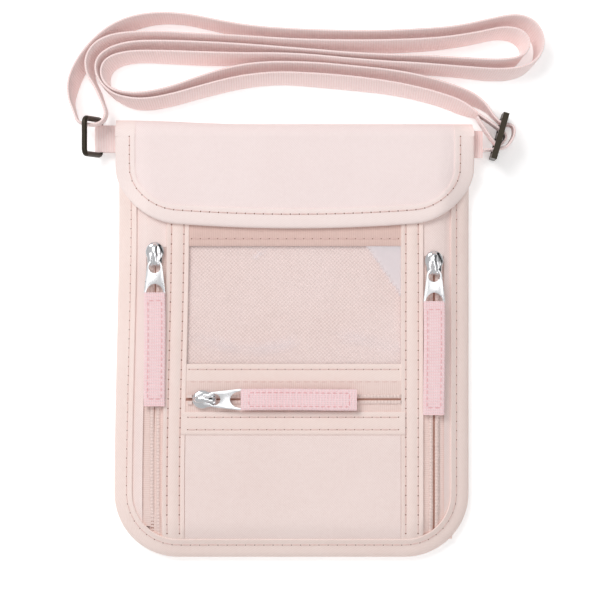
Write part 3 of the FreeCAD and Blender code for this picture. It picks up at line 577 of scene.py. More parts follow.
class Draper:
    """Builds cloth pieces that lie in a soft shape."""

    def __init__(self, shape: SoftShape, body: str, step: float = MESH_STEP) -> None:
        """Keeps the shape, the body the pieces ride on and the spacing of their vertices."""
        self.shape = shape
        self.body = body
        self.step = step

    def panel(self, name: str, side: Callable[[float], Point], low: float, high: float, level: float,
              thick: float, finish: Finish, slot: str, replaced: Iterable[str] = ()) -> bpy.types.Object:
        """Makes a sheet of cloth with thickness.

        Args:
            name: The piece's name.
            side: Gives the left and right edges at a height y.
            low: The lowest y.
            high: The highest y.
            level: The flat level of its underside.
            thick: Its thickness.
            finish: Its finish.
            slot: The record's material slot.
            replaced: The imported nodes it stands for.

        Returns:
            The object.
        """
        piece = Piece(name)
        rows = max(4, round((high - low) / self.step))
        widest = max(side(mix(low, high, t / 8))[1] - side(mix(low, high, t / 8))[0] for t in range(9))
        columns = max(3, round(widest / self.step))
        top, under = [], []
        for row in range(rows + 1):
            share = row / rows
            bunched = share ** 1.25 * 0.5 ** -0.25
            y = mix(low, high, share if row > rows / 2 else bunched)
            left, right = side(y)
            places = [(mix(left, right, column / columns), y) for column in range(columns + 1)]
            for layer, base in ((top, level + thick), (under, level)):
                layer.append([piece.vertex(self.shape.at(x, y, base), (x, y)) for x, y in places])
        piece.slab(top, under)
        return piece.make(finish, self.body, slot, replaced)

    def strip(self, name: str, path: Path, profile: Sequence[Point], finish: Finish, slot: str,
              replaced: Iterable[str] = (), crease: float = 50.0) -> bpy.types.Object:
        """Sweeps a tape's section along a line.

        Args:
            name: The piece's name.
            path: Places and the direction in which the section's offsets run, at each.
            profile: The section's offset and level at each of its corners, all the way round.
            finish: Its finish.
            slot: The record's material slot.
            replaced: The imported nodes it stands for.
            crease: Edges sharper than this many degrees stay sharp.

        Returns:
            The object.
        """
        piece = Piece(name)
        run, rings = 0.0, []
        for index, (place, inward) in enumerate(path):
            if index:
                run += (place - path[index - 1][0]).length
            ring = []
            for offset, level in profile:
                spot = place + inward * offset
                ring.append(piece.vertex(self.shape.at(spot.x, spot.y, level), (run, offset)))
            rings.append(ring)
        piece.tube(rings)
        return piece.make(finish, self.body, slot, replaced, crease)

    def seam(self, name: str, path: Path, inset: float, level: float,
             stitch: float) -> None:
        """Sews a line of stitches: threads that dip into needle holes, each shown as a dark dot of painted
        shade.

        Args:
            name: The pieces' name.
            path: The line that the tape follows.
            inset: The seam's distance from that line.
            level: The flat level that the thread lies on.
            stitch: Length of one stitch.
        """
        line = [self.shape.at(*(place + inward * inset).xy, level) for place, inward in path]
        threads, holes = Piece(name + "_thread"), Piece(name + "_needle_hole_shade")
        spots = spaced(line, stitch)
        for a, b in zip(spots, spots[1:]):
            stitch_thread(threads, a, b)
        # Dark dots of painted shade where the thread dives into the cloth.
        for spot in spots:
            needle_hole(holes, spot)
        threads.make(THREAD, self.body, "binding_tape")
        holes.make(NEEDLE_HOLE_SHADE, self.body, "binding_tape")


def spaced(line: Sequence[Vector], step: float) -> list[Vector]:
    """Returns points a step apart along a line.

    Args:
        line: The line's points.
        step: The wanted distance, which is changed a little so that the ends fit.

    Returns:
        The points, the line's ends among them.
    """
    lengths = [0.0]
    for a, b in zip(line, line[1:]):
        lengths.append(lengths[-1] + (b - a).length)
    count = max(1, round(lengths[-1] / step))
    found, index = [], 0
    for number in range(count + 1):
        wanted = lengths[-1] * number / count
        while index < len(line) - 2 and lengths[index + 1] < wanted:
            index += 1
        reach = max(1e-9, lengths[index + 1] - lengths[index])
        found.append(line[index].lerp(line[index + 1], min(1.0, (wanted - lengths[index]) / reach)))
    return found


def stitch_thread(piece: Piece, a: Vector, b: Vector, radius: float = 0.20 * MM) -> None:
    """Adds one stitch from a to b, a thread that rises a little at its middle."""
    ahead = (b - a).normalized()
    aside = ahead.cross(Vector((0, 0, 1))).normalized()
    rings = []
    for share, size, rise in ((0.06, 0.45, -0.10), (0.2, 0.9, 0.05), (0.5, 1.0, 0.12), (0.8, 0.9, 0.05),
                              (0.94, 0.45, -0.10)):
        centre = a.lerp(b, share) + Vector((0, 0, rise * MM))
        ring = []
        for turn in range(5):
            angle = TURN * turn / 5
            spot = centre + (aside * math.cos(angle) + Vector((0, 0, 0.7)) * math.sin(angle)) * radius * size
            ring.append(piece.vertex(spot, (a.x + share * MM, turn * 0.1 * MM)))
        rings.append(ring)
    piece.tube(rings)


def needle_hole(piece: Piece, spot: Vector, radius: float = 0.36 * MM) -> None:
    """Adds one needle hole as painted shade: a dark flat bead that stands just proud of the cloth."""
    tip = piece.vertex(spot + Vector((0, 0, 0.10 * MM)))
    ring = [piece.vertex(spot + Vector((math.cos(TURN * k / 6), math.sin(TURN * k / 6), -0.3)) * radius)
            for k in range(6)]
    for k in range(6):
        piece.faces.append((tip, ring[k], ring[(k + 1) % 6]))
    piece.cap(list(reversed(ring)))


def straight(start: Point, end: Point, inward: Point, step: float = MESH_STEP) -> list[tuple[Vector, Vector]]:
    """Returns a straight line's places, each with the direction in which offsets run."""
    a, b = Vector((*start, 0)), Vector((*end, 0))
    count = max(2, round((b - a).length / step))
    return [(a.lerp(b, k / count), Vector((*inward, 0))) for k in range(count + 1)]


def round_pocket(half: float, high: float, low: float, radius: float, step: float = MESH_STEP
                 ) -> list[tuple[Vector, Vector]]:
    """Returns the places along a U that goes down the left, round the bottom and up the right.

    Args:
        half: Half the width of the U.
        high: Where its ends are.
        low: Its lowest line.
        radius: Radius of its corners.
        step: Spacing of the places.

    Returns:
        Places, each with the direction inwards.
    """
    path = straight((-half, high), (-half, low + radius), (1, 0), step)[:-1]
    turns = max(10, round(radius * TURN / 4 / step))
    for centre_x, start in ((-half + radius, math.pi), (half - radius, 1.5 * math.pi)):
        centre = Vector((centre_x, low + radius, 0))
        arc = []
        for k in range(turns + 1):
            angle = start + TURN / 4 * k / turns
            out = Vector((math.cos(angle), math.sin(angle), 0))
            arc.append((centre + out * radius, -out))
        path += arc
        if centre_x < 0:
            path += straight((-half + radius, low), (half - radius, low), (0, 1), step)[1:-1]
    return path + straight((half, low + radius), (half, high), (-1, 0), step)[1:]


def folded_tape(width: float, base: float, top: float, stitch: float) -> list[Point]:
    """Returns the section of a tape folded round an edge, pulled in where it is sewn.

    Args:
        width: How far it reaches in from the edge.
        base: Level of its underside.
        top: Level of its top.
        stitch: Inset of the seam that pulls it in.

    Returns:
        Offset and level at each corner.
    """
    rise = top - base
    return [(width, base), (0.5 * width, base), (0.10 * width, base), (0.02 * width, base + 0.25 * rise),
            (0.0, base + 0.5 * rise), (0.03 * width, base + 0.76 * rise), (0.12 * width, base + 0.94 * rise),
            (0.28 * width, top + 0.035 * rise), (stitch - 1.5 * MM, top + 0.02 * rise),
            (stitch, top - 0.05 * rise), (stitch + 1.0 * MM, top + 0.01 * rise),
            (width - 0.35 * MM, top), (width, top - 0.06 * rise)]


def flat_tape(width: float, base: float, top: float, seams: Sequence[float] = ()) -> list[Point]:
    """Returns the section of a flat tape from offset 0 to width, pulled in at its seams."""
    dip = 0.25 * (top - base)
    points = [(0.0, base), (0.0, top - 0.3 * (top - base)), (0.3 * MM, top)]
    for seam in seams:
        points += [(seam - 0.8 * MM, top), (seam, top - dip), (seam + 0.8 * MM, top)]
    return points + [(width - 0.3 * MM, top), (width, top - 0.3 * (top - base)), (width, base)]


# --------------------------------------------------------------------------------------------------
# The studio and the neck strap, which come first
# --------------------------------------------------------------------------------------------------


@dataclass
class Studio:
    """A white floor, soft light and a camera straight above the pouch.

    Attributes:
        centre: The point that the camera stands above.
        height: Its height.
        lens: Its focal length, in millimetres.
        floor_size: The floor's side.
        sky_band: Where across the sky it is white or, for the metal to mirror, nearly black.
    """

    centre: Point = (5.75 * MM, 14.91 * MM)
    height: float = 1.2
    lens: float = 160.8
    floor_size: float = 3.0
    sky_band: tuple[Point, ...] = (
        (0.0, 1.0), (1.0, 1.0), (0.55, 1.0), (0.62, 0.05), (0.74, 0.05), (0.80, 1.0))

    def build(self) -> None:
        """Makes the floor, the lights and the camera."""
        bpy.context.scene.view_settings.view_transform = "Standard"
        self.camera()
        self.floor()
        self.world()
        self.light("key_light", (-0.55, 0.75, 1.1), 0.7, 9.5)
        self.light("fill_light", (0.8, -0.5, 1.1), 0.9, 2.8)
        self.light("top_light", (0.1, 0.1, 1.6), 0.5, 1.6)

    def camera(self) -> None:
        """Makes the camera."""
        lens = bpy.data.cameras.new("camera")
        lens.sensor_width = 36.0
        lens.lens = self.lens
        eye = bpy.data.objects.new("camera", lens)
        eye.location = (*self.centre, self.height)
        bpy.context.scene.collection.objects.link(eye)
        bpy.context.scene.camera = eye

    def floor(self) -> None:
        """Makes the floor."""
        half = self.floor_size / 2
        mesh = bpy.data.meshes.new("floor")
        corners = [(-half, -half, 0), (half, -half, 0), (half, half, 0), (-half, half, 0)]
        mesh.from_pydata(corners, [], [(0, 1, 2, 3)])
        tree = Tree("white_floor")
        tree.set(Base_Color=(0.95, 0.95, 0.95, 1.0), Roughness=0.9, Specular_IOR_Level=0.1)
        tree.set(Emission_Color=(1.0, 1.0, 1.0, 1.0), Emission_Strength=0.28)
        mesh.materials.append(tree.material)
        floor = bpy.data.objects.new("floor", mesh)
        floor.location.z = -0.2 * MM
        bpy.context.scene.collection.objects.link(floor)

    def world(self) -> None:
        """Lights the scene softly from all round."""
        world = bpy.data.worlds.new("studio")
        world.use_nodes = True
        nodes, links = world.node_tree.nodes, world.node_tree.links
        sky = nodes["Background"]
        sky.inputs["Strength"].default_value = 0.56
        ramp = nodes.new("ShaderNodeValToRGB")
        stops = ramp.color_ramp.elements
        for index, (place, grey) in enumerate(self.sky_band):
            stop = stops[index] if index < 2 else stops.new(place)
            stop.position = place
            stop.color = (grey, grey, grey, 1.0)
        direction = nodes.new("ShaderNodeTexCoord").outputs["Generated"]
        lean = nodes.new("ShaderNodeVectorMath")
        lean.operation = "DOT_PRODUCT"
        lean.inputs[1].default_value = (0.68, 0.25, 0.35)
        links.new(direction, lean.inputs[0])
        links.new(lean.outputs["Value"], ramp.inputs[0])
        links.new(ramp.outputs[0], sky.inputs["Color"])
        bpy.context.scene.world = world

    def light(self, name: str, place: Sequence[float], size: float, power: float) -> None:
        """Makes a square soft light that faces the pouch."""
        lamp = bpy.data.lights.new(name, "AREA")
        lamp.size = size
        lamp.energy = power
        holder = bpy.data.objects.new(name, lamp)
        holder.location = place
        holder.rotation_euler = (Vector((0, 0, 0)) - Vector(place)).to_track_quat("-Z", "Y").to_euler()
        bpy.context.scene.collection.objects.link(holder)


# The strap's route, in millimetres: through the adjuster, round the outer loops, through the ring and back
# along the inner loops. The sewn loop is its last end, turned back round the adjuster's middle bar.
ADJUSTER_PASS = [
    (83.0, 82.6), (92.0, 83.0), (94.9, 85.9), (96.8, 90.2), (95.9, 94.0), (90.6, 94.3),
    (87.3, 98.1)]
OUTER_RUN = [
    (87.3, 98.1), (82.9, 103.15), (73.0, 108.0), (59.5, 112.6), (44.5, 115.5), (25.0, 117.2),
    (7.5, 119.0), (-10.0, 119.5), (-25.0, 117.7), (-40.5, 113.0), (-53.5, 108.2), (-65.5, 105.8),
    (-74.5, 106.5), (-80.6, 110.0), (-82.3, 116.0), (-79.3, 121.2), (-70.5, 123.8), (-55.5, 123.5),
    (-40.5, 122.8), (-23.0, 122.5), (-7.5, 122.8), (7.5, 122.0), (22.5, 120.2), (40.0, 118.9),
    (57.5, 118.3), (75.0, 116.8), (90.0, 115.4), (101.0, 117.0), (107.2, 122.5), (108.2, 130.5),
    (104.0, 137.5), (96.0, 140.2), (85.0, 138.0), (70.5, 134.6), (53.0, 133.3), (36.0, 132.6),
    (18.5, 132.9), (1.0, 133.4), (-16.5, 134.6), (-31.5, 137.2), (-47.5, 140.8), (-62.0, 141.0),
    (-75.0, 137.2), (-85.3, 130.0), (-92.2, 121.2), (-96.3, 112.5), (-97.2, 104.8), (-95.0, 98.6)]
RING_PASS = [(-95.0, 98.6), (-93.6, 94.65), (-88.4, 93.3), (-83.0, 94.1), (-80.6, 98.4), (-82.6, 103.6)]
INNER_RUN = [
    (-82.6, 103.6), (-84.8, 109.3), (-88.4, 115.2), (-88.4, 122.3), (-83.5, 128.6), (-74.5, 131.6),
    (-58.0, 132.0), (-40.5, 130.9), (-23.0, 130.1), (-5.5, 129.0), (12.0, 128.3), (29.5, 128.0),
    (46.5, 128.2), (64.0, 129.2), (79.5, 131.6), (90.5, 134.3), (98.6, 132.8), (102.0, 127.4),
    (98.8, 121.8), (90.0, 120.2), (77.0, 121.0), (59.5, 122.1), (42.5, 122.3), (25.0, 123.0),
    (7.5, 124.8), (-10.0, 126.2), (-27.5, 127.2), (-42.5, 127.8), (-58.0, 128.4), (-70.0, 128.2),
    (-79.0, 125.6), (-84.0, 121.2), (-84.9, 115.2), (-81.8, 109.2), (-75.6, 104.6), (-66.0, 102.4),
    (-53.5, 104.4), (-38.0, 108.9), (-23.0, 112.6), (-7.5, 114.4), (9.5, 113.5), (29.5, 111.7),
    (46.5, 109.4), (61.0, 105.9), (71.5, 102.4), (80.3, 97.9)]
SEWN_LOOP = [(80.7, 98.4), (90.9, 91.5), (93.2, 88.2), (89.7, 84.2), (86.3, 87.3), (80.0, 97.4)]

# Where the strap lifts to pass the ring and the adjuster, and where it can't lean at the adjuster.
RING_SPOT = (-88.0 * MM, 95.0 * MM)
ADJUSTER_SPOT = (91.0 * MM, 88.0 * MM)
ADJUSTER_GRIP = (91.0 * MM, 89.0 * MM)


def curve_mesh(data: bpy.types.Curve) -> bpy.types.Mesh:
    """Returns the mesh of a curve, and leaves nothing else of it in the scene."""
    carrier = bpy.data.objects.new(data.name + "_line", data)
    bpy.context.scene.collection.objects.link(carrier)
    bpy.context.view_layer.update()
    mesh = bpy.data.meshes.new_from_object(carrier.evaluated_get(bpy.context.evaluated_depsgraph_get()))
    bpy.data.objects.remove(carrier)
    return mesh


def smooth_line(name: str, route: Sequence[Vector]) -> list[Vector]:
    """Returns the points of the smooth line that a route's points steer."""
    data = bpy.data.curves.new(name, "CURVE")
    data.dimensions = "3D"
    data.resolution_u = 10
    spline = data.splines.new("NURBS")
    spline.points.add(len(route) - 1)
    for point, place in zip(spline.points, route):
        point.co = (*place, 1.0)
    spline.order_u = 3
    spline.use_endpoint_u = True
    return [vertex.co.copy() for vertex in curve_mesh(data).vertices]


def walk(line: Sequence[Vector]) -> Iterator[tuple[Vector, Vector, float]]:
    """Yields each point of a line, with the way ahead and the distance from the line's start."""
    run = 0.0
    for index, spot in enumerate(line):
        if index:
            run += (spot - line[index - 1]).length
        ahead = (line[min(index + 1, len(line) - 1)] - line[max(index - 1, 0)]).normalized()
        yield spot, ahead, run


@dataclass
class NeckStrap:
    """The long webbing strap, one ribbon from the sewn tab through the adjuster and ring to its own seam.

    Attributes:
        width: Width of the webbing.
        thick: Its thickness.
        length: Its length along the route; not used.
        lean_up: How far the top edge lies beyond the lower one, away from the pouch.
        lean_out: How far it lies outwards at the two ends of the bundle.
    """

    width: float = 12.0 * MM
    thick: float = 1.1 * MM
    length: float = 1.261
    lean_up: float = 4.4 * MM
    lean_out: float = 3.4 * MM

    def centre_line(self) -> list[Vector]:
        """Returns the points of the smooth line that the strap's middle follows."""
        route = [*ADJUSTER_PASS, *OUTER_RUN[1:], *RING_PASS[1:], *INNER_RUN[1:]]
        return smooth_line("strap_line", [
            Vector((x * MM, y * MM, self.base(x * MM, y * MM) + self.width / 2)) for x, y in route])

    def base(self, x: float, y: float) -> float:
        """Returns the height of the strap's lower edge, which lifts to pass the ring and the adjuster."""
        at_ring = smooth(1 - math.dist((x, y), RING_SPOT) / (14 * MM))
        at_adjuster = smooth(1 - math.dist((x, y), ADJUSTER_SPOT) / (16 * MM))
        return min(1.0, 1.6 * at_ring) * 4.1 * MM + min(1.0, 1.8 * at_adjuster) * 2.5 * MM + 0.1 * MM

    def lean(self, x: float, y: float) -> Vector:
        """Returns how far the strap's top edge lies from its lower edge, in plan."""
        free = smooth((math.dist((x, y), RING_SPOT) - 6 * MM) / (14 * MM))
        free *= smooth((math.dist((x, y), ADJUSTER_GRIP) - 8 * MM) / (16 * MM))
        out = self.lean_out * (smooth((x - 40 * MM) / (65 * MM)) - smooth((-x - 40 * MM) / (50 * MM)))
        loose = noise.noise(Vector((x * 22, y * 60, 1.0))) * 1.2 * MM
        return Vector((out, self.lean_up + loose, 0)) * free

    def build(self) -> None:
        line = self.centre_line()
        half, thick = self.width / 2, self.thick / 2
        piece = Piece("neck_strap")
        rings = []
        shares = (-1, -0.92, -0.5, 0, 0.5, 0.92, 1)
        section = [(share, 1) for share in shares] + [(share, -1) for share in reversed(shares)]
        for spot, ahead, run in walk(line):
            aside = Vector((-ahead.y, ahead.x, 0)).normalized()
            lean = self.lean(spot.x, spot.y)
            over = min(0.9, lean.length / self.width)
            tall = math.sqrt(1 - over * over)
            ring = []
            for share, side in section:
                edge = 0.55 if abs(share) > 0.95 else 1.0
                curl = 0.25 * MM * share * share
                bottom = spot.z - half
                place = spot + lean * (0.5 * share) + aside * (side * thick * edge + curl)
                place.z = bottom + half * tall * (1 + share)
                ring.append(piece.vertex(place, (run, share * half)))
            rings.append(ring)
        piece.tube(rings)
        runs = ("strap_outer_run", "strap_inner_run", "strap_through_ring", "strap_through_adjuster")
        strap = piece.make(WEBBING, "pouch", "webbing", runs)
        self.middles(line)
        log.info("strap line %.3f m", sum((b - a).length for a, b in zip(line, line[1:])))

    def middles(self, line: Sequence[Vector]) -> list[Vector]:
        """Returns the middle of the webbing at each point of the line, lowered where it leans."""
        found = []
        for spot in line:
            over = min(0.9, self.lean(spot.x, spot.y).length / self.width)
            found.append(Vector((spot.x, spot.y, spot.z - self.width / 2 * (1 - math.sqrt(1 - over * over)))))
        return found


# --------------------------------------------------------------------------------------------------
# The pouch's body
# --------------------------------------------------------------------------------------------------


def low_of(node: str) -> Vector:
    """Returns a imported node's lowest corner."""
    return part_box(node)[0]


def high_of(node: str) -> Vector:
    """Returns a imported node's highest corner."""
    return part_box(node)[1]


def dress(node: str, finish: Finish) -> None:
    """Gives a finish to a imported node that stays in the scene."""
    materials = frame["nodes"][node].data.materials
    materials.clear()
    materials.append(finish.material())


@dataclass
class PouchBody:
    """The bound body: back, linings, front panels, bands, window and hems.

    Attributes:
        corner: Radius of the lower corners.
        bound: How far the binding reaches in.
        sewn: Inset of the binding's seam.
        tuck: How far panels run in under the binding.
        cloth: Thickness of the cloth.
    """

    corner: float = 28.0 * MM
    bound: float = 8.2 * MM
    sewn: float = 5.6 * MM
    tuck: float = 4.0 * MM
    cloth: float = 0.6 * MM

    def __post_init__(self) -> None:
        """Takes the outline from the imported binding."""
        low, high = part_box("body_binding")
        self.half, self.low, self.fold = high.x, low.y, high.y
        self.mouth = high_of("left_band").y
        self.shape = SoftShape(self.half, self.low, self.corner, self.fold)
        self.draper = Draper(self.shape, "pouch")

    def limit(self, y: float) -> float:
        """Returns half the width inside the binding at a height y."""
        reach = self.corner - self.tuck
        down = self.low + self.corner - y
        if down <= 0:
            return self.half - self.tuck
        return self.half - self.corner + math.sqrt(max(0.0, reach * reach - down * down))

    def between(self, left: float, right: float) -> Callable[[float], Point]:
        """Returns the edges of a panel cut to lie between left and right, inside the outline."""
        return lambda y: (max(left, -self.limit(y)), min(right, self.limit(y)))

    def lowest(self, x: float) -> float:
        """Returns the lowest y that a panel reaching in to x can have."""
        reach = self.corner - self.tuck
        across = max(0.0, abs(x) - (self.half - self.corner))
        return self.low + self.corner - math.sqrt(max(0.0, reach * reach - across * across)) + 0.3 * MM

    def build(self) -> None:
        """Makes the whole body."""
        self.linings()
        self.front()
        self.window()
        self.binding()
        self.bands()
        self.closure()

    def sheet(self, node: str, left: float, right: float, low: float, high: float, level: float, thick: float,
              finish: Cloth, slot: str) -> None:
        """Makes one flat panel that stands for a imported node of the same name."""
        nearest = min(abs(left), abs(right)) if left * right > 0 else 0.0
        low = max(low, self.lowest(0.0), self.lowest(nearest))
        edges = self.between(left, right)
        self.draper.panel(node + "_cloth", edges, low, high, level, thick, finish, slot, (node,))

    def linings(self) -> None:
        """Makes the back, the lining behind the pocket and the sheets between the pockets."""
        wide = self.half
        self.sheet("back_panel", -wide, wide, self.low, self.fold, 0.5 * MM, 0.9 * MM, CANVAS, "canvas")
        for node, level, thick in (("shield_lining", 1.6 * MM, 0.3 * MM),
                                   ("pocket_divider", 6.7 * MM, 0.6 * MM)):
            self.sheet(node, -wide, wide, self.low, self.mouth, level, thick, INNER_CLOTH, "lining_cloth")
        left, right = low_of("window_backing").x, high_of("window_backing").x
        self.sheet("window_backing", left, right, self.low, self.mouth, 8.1 * MM, 0.4 * MM, WINDOW_CLOTH,
                   "pocket_cloth")

    def front(self) -> None:
        """Makes the front's canvas panels."""
        for node in ("left_side_panel", "right_side_panel", "left_zip_patch", "right_zip_patch",
                     "front_top_panel", "lower_pocket_panel"):
            low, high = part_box(node)
            thick = self.cloth
            self.sheet(node, low.x, high.x, low.y, high.y, high.z - thick, thick, CANVAS, "canvas")

    def window(self) -> None:
        """Makes the clear window, its hem and the band below it."""
        low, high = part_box("window_film")
        film = Piece("window_film_sheet")
        top, under = [], []
        rows, columns = 44, 66
        for row in range(rows + 1):
            y = mix(low.y, high.y, row / rows)
            first, second = [], []
            for column in range(columns + 1):
                x = mix(low.x, high.x, column / columns)
                # Each vertex keeps the strength of the film's painted highlight.
                lift_and_glare = self.lift_and_glare(x, y)
                spot = self.shape.at(x, y, low.z + 0.1 * MM) + Vector((0, 0, self.buckle(x, y)))
                first.append(film.vertex(spot + Vector((0, 0, 0.15 * MM)), None, lift_and_glare))
                second.append(film.vertex(spot, None, lift_and_glare))
            top.append(first)
            under.append(second)
        film.slab(top, under)
        film.make(FILM, "pouch", "clear_film", ("window_film",))
        for node, seams in (("window_top_hem", (3.2 * MM,)), ("window_bottom_band", PAIRED_SEAMS),
                            ("lower_zip_band", PAIRED_SEAMS)):
            self.cross_tape(node, seams)

    def buckle(self, x: float, y: float) -> float:
        """Returns how far the film stands off its backing: long shallow slanted buckles."""
        slanted = x * 0.75 + y * 0.66
        wave = noise.noise(Vector((slanted * 30, (y * 0.75 - x * 0.66) * 9, 4.0)))
        return (0.16 + 0.16 * wave) * MM + self.lift_and_glare(x, y) * 0.15 * MM

    def lift_and_glare(self, x: float, y: float) -> float:
        """Returns 1 where the film's upper right corner lifts off and along two glare streaks, and 0 elsewhere:
        it lifts the film a little and sets its painted highlights.
        """
        edge = (x - 31 * MM) * 0.82 + (y - 33 * MM) * 0.57 - 5.5 * MM
        # The lifted corner is whitened as a painted highlight.
        band = smooth(edge / (0.8 * MM) + 0.5) * smooth((y - 12 * MM) / (4 * MM))
        stripe = abs((x + 15.5 * MM) * 0.5 - (y - 37 * MM) * 0.86)
        # A thin slanted stripe of painted glint.
        painted_glint = smooth(1.3 - stripe / (0.45 * MM)) * smooth(1.6 - abs(x + 15.0 * MM) / (2.2 * MM))
        painted_glint *= smooth(1.6 - abs(y - 37.5 * MM) / (2.2 * MM))
        # A low wavy streak of painted highlight.
        low_glare_streak = 0.28 * smooth(1.0 - abs(y + 1 * MM - 3 * MM * math.sin(x * 90)) / (4.5 * MM))
        low_glare_streak *= smooth(noise.noise(Vector((x * 40, 0, 7))) * 2 + 0.6)
        return min(1.0, 0.72 * band + 0.6 * painted_glint + low_glare_streak)

    def cross_tape(self, node: str, seams: Sequence[float]) -> None:
        """Makes a tape from band to band, with its seams measured up from its lower edge."""
        low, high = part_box(node)
        reach = 2.0 * MM
        path = straight((low.x - reach, low.y), (high.x + reach, low.y), (0, 1))
        profile = flat_tape(high.y - low.y, low.z, high.z, seams)
        # The hem gets the darker canvas: the flap's painted shadow.
        finish = HEM_CANVAS_SHADOWED if node == "window_top_hem" else TAPE
        self.draper.strip(node + "_tape", path, profile, finish, "binding_tape", (node,))
        inner = straight((low.x + MM, low.y), (high.x - MM, low.y), (0, 1))
        for number, seam in enumerate(seams):
            self.draper.seam(f"{node}_seam_{number}", inner, seam, high.z - 0.05 * MM, 3.8 * MM)

    def binding(self) -> None:
        """Makes the tape folded round the sides and bottom."""
        high = high_of("body_binding")
        outer = round_pocket(self.half, self.fold, self.low, self.corner)
        profile = folded_tape(self.bound, 0.0, high.z + 0.9 * MM, self.sewn)
        self.draper.strip("body_binding_tape", outer, profile, TAPE, "binding_tape", ("body_binding",))
        self.draper.seam("body_binding_seam", outer, self.sewn, high.z + 0.5 * MM, 4.0 * MM)

    def bands(self) -> None:
        """Makes the two upright bands with their paired seams."""
        for node in ("left_band", "right_band"):
            low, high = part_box(node)
            bottom = self.lowest(low.x if low.x > 0 else high.x) + 2.5 * MM
            path = straight((low.x, bottom), (low.x, high.y), (1, 0))
            profile = flat_tape(high.x - low.x, low.z, high.z + 0.3 * MM, PAIRED_SEAMS)
            self.draper.strip(node + "_tape", path, profile, TAPE, "binding_tape", (node,))
            sewn = straight((low.x, bottom + 4 * MM), (low.x, high.y), (1, 0))
            for number, seam in enumerate(PAIRED_SEAMS):
                self.draper.seam(f"{node}_seam_{number}", sewn, seam, high.z + 0.15 * MM, 4.2 * MM)

    def closure(self) -> None:
        """Makes the loop patch under the flap."""
        low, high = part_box("closure_loop_patch")
        self.draper.panel("loop_patch", lambda y: (low.x, high.x), low.y, high.y, low.z, high.z - low.z, PILE,
                          "hook_and_loop", ("closure_loop_patch",))


